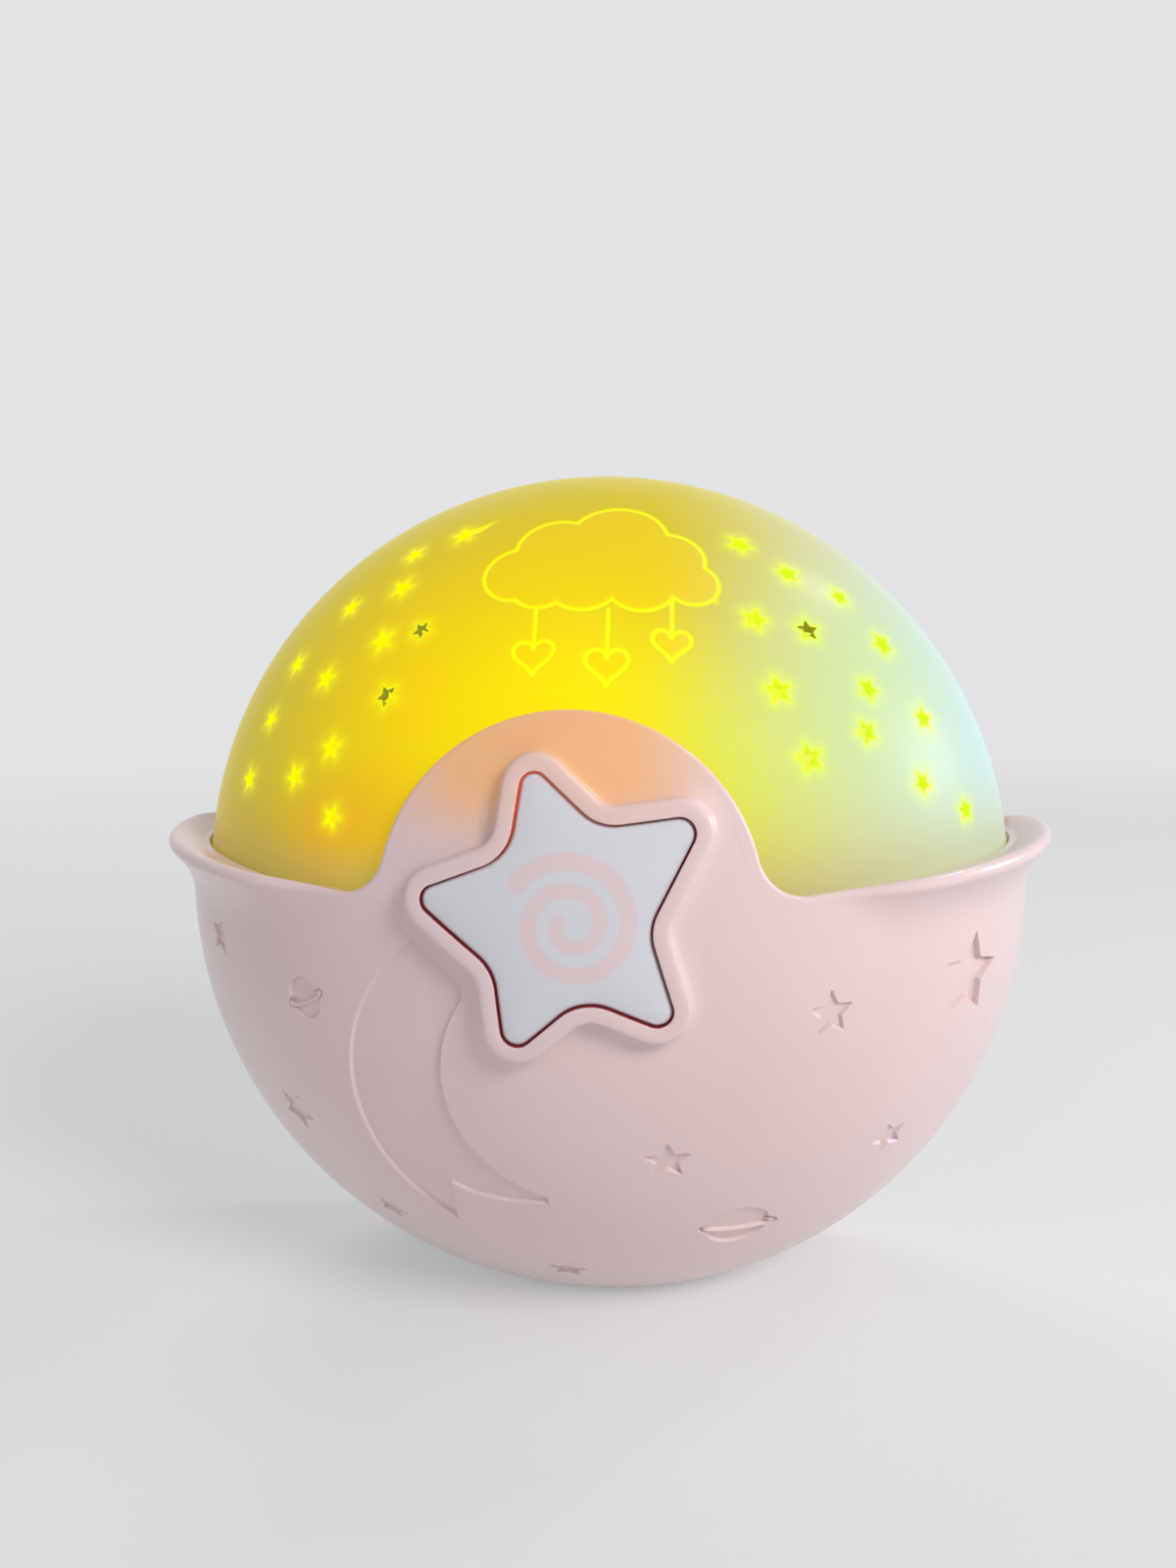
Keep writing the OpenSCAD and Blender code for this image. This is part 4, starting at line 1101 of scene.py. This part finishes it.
class NIGHTLIGHT_OT_lip(bpy.types.Operator):
    """Model the rim of the bowl: a plain edge over the hump and a rolled lip at each side"""

    bl_idname = "nightlight.lip"
    bl_label = "Rim and lips"

    def execute(self, context):
        sizes, colours, cap = scene_values(context)
        grow = sizes.bowl_grow
        line, hollow_x = rim_line(sizes, 0, 80)
        half = line[: len(line) // 2 + 1]
        half = half[half[:, 0] >= 0]
        slope = math.tan(sizes.rim_rise)
        lift = sizes.rim_height - hollow_x * slope
        edge = cap.rim + grow
        root = math.sqrt(edge**2 * (1 + slope**2) - lift**2)
        end_x = (root - lift * slope) / (1 + slope**2)
        x = hollow_x + (end_x - hollow_x) * np.sin(np.linspace(0, 1, 200) * math.pi / 2)
        side = np.stack([x, lift + x * slope], -1)[::-1]
        front = np.concatenate([side, half[1:]])
        path = even(cap.front(front[:, 0], front[:, 1], grow), 0.0011)
        back = np.repeat(path[:1], 14, 0)
        back[:, 1] = SEAM_Y * np.cos(np.linspace(0, math.pi / 2, 14, endpoint=False))
        path = np.concatenate([back, path])
        mirrored = path[::-1] * (-1, 1, 1)
        path = np.concatenate([path, mirrored[1:]])
        out = cap.normal(path)
        along = np.gradient(path, axis=0)
        along /= np.linalg.norm(along, axis=1, keepdims=True)
        up = np.cross(along, out)
        up *= np.sign(up[len(up) // 2, 2])
        flare, share = self.flare(sizes, path, out)
        outward, upward = self.section(sizes, flare, share)
        places = path[:, None] + up[:, None] * upward[..., None]
        places = cap.on(places, grow)
        places += cap.normal(places) * outward[..., None]
        places[..., 1] = np.minimum(places[..., 1], SEAM_Y)
        lip = moulding("bowl_lip", places, False)
        smooth(lip, 50)
        set_finish(lip, finish(pink_plastic, colours, cap.mid))
        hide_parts("front_shell")
        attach(lip, "housing")
        return {"FINISHED"}

    def flare(self, sizes, path, out):
        """How far the lip stands out along the path, and its share from none to full"""
        middle = np.stack([np.sign(path[:, 0]) * sizes.lip_middle, 0 * path[:, 0]], -1)
        level = out[:, :2] / np.linalg.norm(out[:, :2], axis=1, keepdims=True)
        off = path[:, :2] - middle
        b = (off * level).sum(1)
        c = (off**2).sum(1) - sizes.lip_radius**2
        flare = np.maximum(-b + np.sqrt(np.maximum(b**2 - c, 0)), 0)
        flare[c > 0] = 0
        full_at, fade_from, fade_over = 0.0052, -0.002, 0.0082
        share = smooth_step(0, 1, flare / full_at)
        end = np.clip((path[:, 1] - fade_from) / fade_over, 0, 1)
        return flare * share * np.sqrt(1 - end**2 * 0.97), share

    def section(self, sizes, flare, share):
        """Places across each station's section, outwards and upwards from the rim line"""
        f, w = flare[:, None], share[:, None]
        wall = sizes.bowl_wall + 0.00003
        bead = sizes.rim_edge + (sizes.lip_bead - sizes.rim_edge) * w
        deep = 0.0032 + 0.0125 * w
        fall = 0.0022 * w
        lean = math.radians(52) * w
        out_end, up_end = f - bead * (1 - np.cos(lean)), -bead - bead * np.sin(lean)
        t = np.linspace(0, 1, 17)[None]
        a = [out_end * t**2.6 + 0.000012 * (t > 0) - 0.00004 * (t == 0)]
        b = [-deep + (up_end + deep) * t]
        angle = -lean + (math.pi / 2 + lean) * np.linspace(0, 1, 12)[None, 1:]
        a.append(f - bead + bead * np.cos(angle))
        b.append(-bead + bead * np.sin(angle))
        inner = 0.0009
        t = np.linspace(0, 1, 7)[None, 1:]
        a.append((f - bead) * (1 - t) + (inner - wall) * t)
        b.append(-fall * t**1.3)
        angle = np.radians(np.linspace(90, 180, 6))[None, 1:]
        a.append(inner - wall + inner * np.cos(angle) + 0 * f)
        b.append(-fall - inner + inner * np.sin(angle))
        a.append(-wall + 0 * f)
        b.append(-fall - 0.004 - 0.003 * w)
        return np.concatenate(a, 1), np.concatenate(b, 1)


class NIGHTLIGHT_OT_star_rim(bpy.types.Operator):
    """Model the raised rim round the star button, with its soft foot"""

    bl_idname = "nightlight.star_rim"
    bl_label = "Star rim"

    def execute(self, context):
        sizes, colours, cap = scene_values(context)
        top = sizes.star_rim_rise / MM
        deep = (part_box("star_button")[1].y + 0.0018) / MM
        # Section: how far outside the button and above the bowl's face, in millimetres, with None
        # for the flat rear and with the radius of the inner and of the outer rounding
        inner, outer = 0.3, 1.0
        across = [(0, None), (0, -3.0), (0, top - 0.15 - inner)]
        across += [(inner - inner * math.cos(a), top - 0.15 - inner + inner * math.sin(a))
                   for a in np.radians((22, 45, 68, 90))]
        across += [(1.1, top - 0.03), (1.9, top)]
        across += [(2.45 + outer * math.sin(a), top - outer + outer * math.cos(a))
                   for a in np.radians((15, 32, 50, 66, 80))]
        across += [(3.47, 1.6), (3.53, 1.1), (3.61, 0.82), (3.76, 0.62), (4.0, 0.48), (4.4, 0.34),
                   (5.0, 0.2), (5.7, 0.1), (6.4, 0.035), (7.0, 0.008), (7.4, -0.05), (5.2, -1.4),
                   (1.8, None)]
        rows = []
        for grow, rise in across:
            flat = button_outline(grow * MM) + (0, sizes.button_height)
            face = cap.front(flat[:, 0], flat[:, 1], sizes.bowl_grow + (rise or 0) * MM)
            if rise is None:
                face[:, 1] = deep * MM
            rows.append(face)
        sections = np.stack(rows, 1)
        rim = moulding("star_rim", sections, True)
        # Vertices of the rim's inner wall along the gap round the button, which take the painted shade
        # and painted glow of the gap
        wall = sections[:, :3].reshape(-1, 3)
        tree = KDTree(len(wall))
        for i, point in enumerate(wall):
            tree.insert(point, i)
        tree.balance()
        attribute(rim, "gap", [tree.find(v.co)[2] < 1e-5 for v in rim.data.vertices])
        p = coords(rim)
        rise = ((p - cap.on(p, sizes.bowl_grow)) * cap.normal(p)).sum(1)
        attribute(rim, "thick", smooth_step(0.0004, 0.0018, rise))
        smooth(rim, 50)
        set_finish(rim, finish(pink_plastic, colours, cap.mid))
        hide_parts("front_shell")
        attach(rim, "housing")
        return {"FINISHED"}


class NIGHTLIGHT_OT_dome(bpy.types.Operator):
    """Model the lit dome with its star holes and engraved cloud"""

    bl_idname = "nightlight.dome"
    bl_label = "Dome"

    def execute(self, context):
        sizes, colours, cap = scene_values(context)
        dome = cap_shell("dome", cap, 0, sizes.dome_wall)
        below = area_outline(sizes, sizes.dome_overlap, -0.13) + (0, cap.mid)
        cut(dome, prism("below_rim", below))
        refine(dome, cap, 0, lambda c: hole_distance(c, cap) * MM, (0.0045, 0.003, 0.002))
        refine(dome, cap, 0, lambda c: cloud_distance(c, cap)[0] * MM,
               (0.0026, 0.0016, 0.0011))
        tools = [self.star_tool(cap, *hole) for hole in HOLES]
        cut(dome, join(tools[0], tools[1:]))
        outer = outer_points(dome, cap, 0)
        p = coords(dome)
        line, solid = cloud_distance(p, cap)
        half = sizes.line_width / MM / 2
        mask = smooth_step(half + 0.25, half - 0.25, line)
        p[outer] -= cap.normal(p[outer]) * (mask[outer] * ENGRAVED_DEPTH)[:, None]
        place(dome, p)
        away = hole_distance(p, cap)
        glow = np.exp(-np.maximum(away, 0) / HALO_FALL) * smooth_step(5, 2, away)
        attribute(dome, "halo", np.where(away < 20, glow, 0))
        # Painted shade: the walls and edges of these holes are marked to be painted dark
        dark = np.zeros(len(p))
        for bearing, tilt in DARK_HOLES:
            near, _ = tangent(p, cap, 0, bearing, tilt, 5)
            dark = np.where(near & ((away < 0.05) | ~outer), 1, dark)
        attribute(dome, "dark", dark)
        attribute(dome, "line", np.where(outer, mask, 0))
        attribute(dome, "fill", np.where(outer, smooth_step(0.4, -0.4, solid), 0))
        smooth(dome, 40)
        set_finish(dome, lit_dome(colours, cap.mid))
        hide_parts("dome_cover")
        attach(dome, "housing")
        return {"FINISHED"}

    def star_tool(self, cap, bearing, tilt, radius, turn):
        """Closed star prism that stands through the dome at a bearing and tilt"""
        middle, across, up, out = cap.axes(bearing, tilt, 0)
        flat = star_outline(radius * MM, turn)
        points = middle - 0.004 * out + flat[:, :1] * across + flat[:, 1:] * up
        return block("star_tool", points, 0.008 * out)


class NIGHTLIGHT_OT_button(bpy.types.Operator):
    """Model the star button: a domed glossy face, a hollow skirt with a flange, and its pegs"""

    bl_idname = "nightlight.button"
    bl_label = "Star button"

    def execute(self, context):
        sizes, colours, cap = scene_values(context)
        gap, top = sizes.button_gap, sizes.button_rise
        edge, skin, flange, plate = 0.0008, 0.0018, 0.0012, 0.00145
        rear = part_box("star_button")[1].y

        def ring(grow, rise, share=1.0):
            """Grown outline drawn in towards its middle, on a face that crowns a little"""
            flat = button_outline(grow) * share + (0, sizes.button_height)
            lift = sizes.bowl_grow + rise + 0.0003 * (1 - share**4)
            return cap.front(flat[:, 0], flat[:, 1], lift)

        def level(grow, y):
            flat = ring(grow, 0)
            flat[:, 1] = y
            return flat

        rings = [ring(-gap - skin - 0.0004, top - skin, share)
                 for share in np.linspace(0, 1, 14)[1:-1]]
        rings.append(ring(-gap - skin - 0.0002, top - skin - 0.0006))
        rings += [level(-gap - 0.002, rear), level(flange, rear), level(flange, rear - plate),
                  level(-gap, rear - plate)]
        rings += [ring(-gap - edge * (1 - math.cos(a)), top - edge * (1 - math.sin(a)) - 0.0001)
                  for a in np.radians((0, 22, 45, 68, 90))]
        rings.append(ring(-gap - 0.0016, top - 0.00002))
        rings += [ring(-gap - 0.0018, top, share) for share in np.linspace(1, 0, 22)[:-1]]
        button = moulding("button", np.stack(rings), False)
        pegs = [self.peg(cap, sizes, *seat) for seat in SPRING_SEATS]
        pegs.append(cylinder_y("peg", 0, cap.mid + sizes.button_height, *PRESSING_PEG))
        button = join(button, pegs)
        smooth(button, 45)
        plastic = button_plastic(colours, cap.mid)
        set_finish(button, plastic)
        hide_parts("star_button")
        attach(button, "star")
        dress(("mode_knob", "volume_knob"), plastic)
        return {"FINISHED"}

    def peg(self, cap, sizes, bearing, radius):
        """Hollow peg behind the button that a spring runs into when the button is pressed"""
        a = math.radians(bearing)
        x, h = radius * MM * math.cos(a), sizes.button_height + radius * MM * math.sin(a)
        front = float(cap.front(np.array(x), np.array(h), sizes.bowl_grow)[1])
        peg = cylinder_y("peg", x, cap.mid + h, PEG_RADIUS, front, PEG_REAR)
        cut(peg, cylinder_y("spring_seat", x, cap.mid + h, PEG_HOLLOW, HOLLOW_FRONT, HOLLOW_REAR))
        return peg


class NIGHTLIGHT_OT_rear(bpy.types.Operator):
    """Finish the rear cover, the battery door, the foot pad and all that is steel"""

    bl_idname = "nightlight.rear"
    bl_label = "Rear and foot"

    def execute(self, context):
        _, colours, cap = scene_values(context)
        dress(("battery_door",), finish(pink_plastic, colours, cap.mid))
        dress(("back_shell",), rear_plastic(colours, cap.mid))
        dress(("foot_pad",), plain_plastic("foot_rubber", (0.16, 0.14, 0.15, 1), 0.75))
        dress(("frame_screws", "bracket_screws", "board_screws", "speaker_screws", "door_screws",
               "housing_screws", "button_springs", "battery_springs", "upper_contacts",
               "lower_contacts", "mode_switch", "volume_switch"), plated_steel())
        return {"FINISHED"}


# Plain pieces inside: nodes, finish, colour and roughness, and where they shine or are metal, the
# metal's share, the light's colour and its strength
PLAIN_PLASTICS = (
    (("button_frame", "lamp_board"), "white_plastic", (0.8, 0.8, 0.78, 1), 0.45),
    (("amber_lamp",), "amber_lens", (1, 0.6, 0.1, 1), 0.1, 0.0, (1, 0.55, 0.05, 1), 2.0),
    (("green_lamp",), "green_lens", (0.7, 0.9, 0.2, 1), 0.1, 0.0, (0.8, 1, 0.1, 1), 2.0),
    (("blue_lamp",), "blue_lens", (0.5, 0.65, 0.95, 1), 0.1, 0.0, (0.5, 0.7, 1, 1), 0.6),
    (("main_chip", "button_switch", "speaker_frame"), "black_plastic", (0.03, 0.03, 0.032, 1), 0.4),
    (("speaker_cone",), "coated_paper", (0.04, 0.04, 0.045, 1), 0.8),
    (("speaker_gasket",), "foam_ring", (0.05, 0.05, 0.05, 1), 0.95),
    (("speaker_magnet",), "magnet_grey", (0.35, 0.35, 0.36, 1), 0.5, 0.8),
    (("capacitor",), "capacitor_blue", (0.03, 0.05, 0.2, 1), 0.3),
    (("switch_plunger",), "switch_tip", (0.7, 0.4, 0.1, 1), 0.4),
    (("speaker_leads", "battery_leads"), "lead_red", (0.5, 0.04, 0.03, 1), 0.45),
    (("lamp_leads", "button_leads"), "lead_white", (0.75, 0.75, 0.72, 1), 0.45),
)


class NIGHTLIGHT_OT_inside(bpy.types.Operator):
    """Finish the boards, lamps, speaker, cells and leads inside"""

    bl_idname = "nightlight.inside"
    bl_label = "Inside"

    def execute(self, context):
        dress(("reflector_plate", "lamp_bracket"), lit_white(context.scene.nightlight_colours))
        dress(("main_board", "button_board"), board_green())
        for nodes, name, colour, gloss, *rest in PLAIN_PLASTICS:
            dress(nodes, plain_plastic(name, colour, gloss, *rest))
        low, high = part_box("battery_left")
        dress(("battery_left", "battery_middle", "battery_right"), cell_sleeve(low.z, high.z))
        return {"FINISHED"}


class NIGHTLIGHT_OT_stage(bpy.types.Operator):
    """Set the floor, the light and the camera"""

    bl_idname = "nightlight.stage"
    bl_label = "Stage"

    FLOOR_WIDTH = 16
    PALE = (0.97, 0.985, 1.0, 1)
    # How strong the sky is where it lights the object, and where it is seen
    SKY_LIGHT, SKY_SEEN = 0.27, 0.78
    # Camera: place from the middle of the dome's rear edge, direction, and roll in degrees
    CAMERA_PLACE, CAMERA_WAY, CAMERA_ROLL = (0.0278, -0.2987, 0.0582), (-0.104, 0.988, -0.115), -0.62
    LAMP_AIM = (0, -0.03, 0.1)
    # Name, place, width in metres, power in watts, colour, and whether glossy pieces mirror it
    LAMPS = (
        ("key", (0.76, -0.72, 0.78), 0.45, 10.0, (1.0, 0.99, 0.97), False),
        ("side", (1.05, 0.12, 0.42), 0.36, 2.5, (0.97, 0.99, 1.0), True),
        ("window", (0.71, 0.29, 0.99), 0.11, 1.0, (0.97, 0.99, 1.0), True),
        ("fill", (-0.9, -0.7, 0.35), 0.8, 1.6, (0.96, 0.98, 1.0), False),
        ("back", (-0.5, 0.95, 1.0), 0.8, 5.5, (1.0, 1.0, 1.0), False),
    )

    def execute(self, context):
        bpy.ops.object.select_all(action="DESELECT")
        bpy.ops.mesh.primitive_plane_add(size=1)
        floor = made("floor")
        place(floor, coords(floor) * self.FLOOR_WIDTH)
        set_finish(floor, self.pale_floor())
        world = bpy.data.worlds.new("studio")
        context.scene.world = world
        world.use_nodes = True
        n = Nodes(world.node_tree)
        sky = world.node_tree.nodes["Background"]
        sky.inputs["Color"].default_value = self.PALE
        n.feed(sky.inputs["Strength"],
               n.range(seen_directly(n), 0.0, 1.0, self.SKY_LIGHT, self.SKY_SEEN, False))
        for lamp in self.LAMPS:
            self.lamp(*lamp)
        data = bpy.data.cameras.new("camera")
        data.lens = 27
        data.sensor_width = 36
        camera = bpy.data.objects.new("camera", data)
        context.scene.collection.objects.link(camera)
        middle = Vector((0, 0, Cap(context.scene.nightlight_sizes).mid))
        camera.location = middle + Vector(self.CAMERA_PLACE)
        turn = Vector(self.CAMERA_WAY).to_track_quat("-Z", "Y").to_matrix().to_4x4()
        roll = Matrix.Rotation(math.radians(self.CAMERA_ROLL), 4, "Z")
        camera.matrix_world = Matrix.Translation(camera.location) @ turn @ roll
        data.clip_start = 0.01
        context.scene.camera = camera
        context.scene.view_settings.view_transform = "Standard"
        return {"FINISHED"}

    def lamp(self, name, place_at, size, power, colour, mirrored):
        """Area lamp that faces the object; glossy surfaces mirror it only if asked"""
        data = bpy.data.lights.new(name, "AREA")
        data.shape = "DISK"
        data.size = size
        data.energy = power
        data.color = colour
        lamp = bpy.data.objects.new(name, data)
        bpy.context.scene.collection.objects.link(lamp)
        lamp.location = place_at
        aim = Vector(self.LAMP_AIM) - lamp.location
        lamp.rotation_euler = aim.to_track_quat("-Z", "Y").to_euler()
        lamp.visible_glossy = mirrored
        lamp.visible_camera = False

    def pale_floor(self):
        """Matt floor that takes the shadow near the object and is as pale as the sky far off"""
        material, n, shader, where = finish_base("pale_floor")
        shade = n.noise(where, 3.0, 2)
        n.feed(shader.inputs["Base Color"],
               n.mix(shade, (0.78, 0.78, 0.78, 1), (0.81, 0.81, 0.80, 1)))
        shader.inputs["Roughness"].default_value = 0.75
        glow = n.add("ShaderNodeEmission", self.PALE, self.SKY_SEEN)
        off = n.add("ShaderNodeVectorMath", where, operation="LENGTH").outputs["Value"]
        share = n.times(seen_directly(n), n.range(off, 0.3, 1.5, 0.45, 1.0))
        both = n.add("ShaderNodeMixShader", share, shader.outputs[0], glow.outputs[0])
        output = material.node_tree.nodes["Material Output"]
        n.feed(output.inputs["Surface"], both.outputs[0])
        return material


STEPS = (
    NIGHTLIGHT_OT_bowl, NIGHTLIGHT_OT_lip, NIGHTLIGHT_OT_star_rim, NIGHTLIGHT_OT_dome,
    NIGHTLIGHT_OT_button, NIGHTLIGHT_OT_rear, NIGHTLIGHT_OT_inside, NIGHTLIGHT_OT_stage,
)


class NIGHTLIGHT_PT_panel(bpy.types.Panel):
    """Lists the pieces and their sizes"""

    bl_idname = "NIGHTLIGHT_PT_panel"
    bl_label = "Night light"
    bl_space_type = "VIEW_3D"
    bl_region_type = "UI"
    bl_category = "Night light"

    def draw(self, context):
        for step in STEPS:
            self.layout.operator(step.bl_idname)
        for group in (context.scene.nightlight_sizes, context.scene.nightlight_colours):
            box = self.layout.box()
            for name in group.__annotations__:
                box.prop(group, name)


CLASSES = (NIGHTLIGHT_PG_sizes, NIGHTLIGHT_PG_colours, *STEPS, NIGHTLIGHT_PT_panel)


def register():
    for item in CLASSES:
        bpy.utils.register_class(item)
    bpy.types.Scene.nightlight_sizes = bpy.props.PointerProperty(type=NIGHTLIGHT_PG_sizes)
    bpy.types.Scene.nightlight_colours = bpy.props.PointerProperty(type=NIGHTLIGHT_PG_colours)


def unregister():
    del bpy.types.Scene.nightlight_colours
    del bpy.types.Scene.nightlight_sizes
    for item in reversed(CLASSES):
        bpy.utils.unregister_class(item)


def main():
    register()
    for step in STEPS:
        family, name = step.bl_idname.split(".")
        getattr(getattr(bpy.ops, family), name)()


if __name__ == "__main__":
    main()
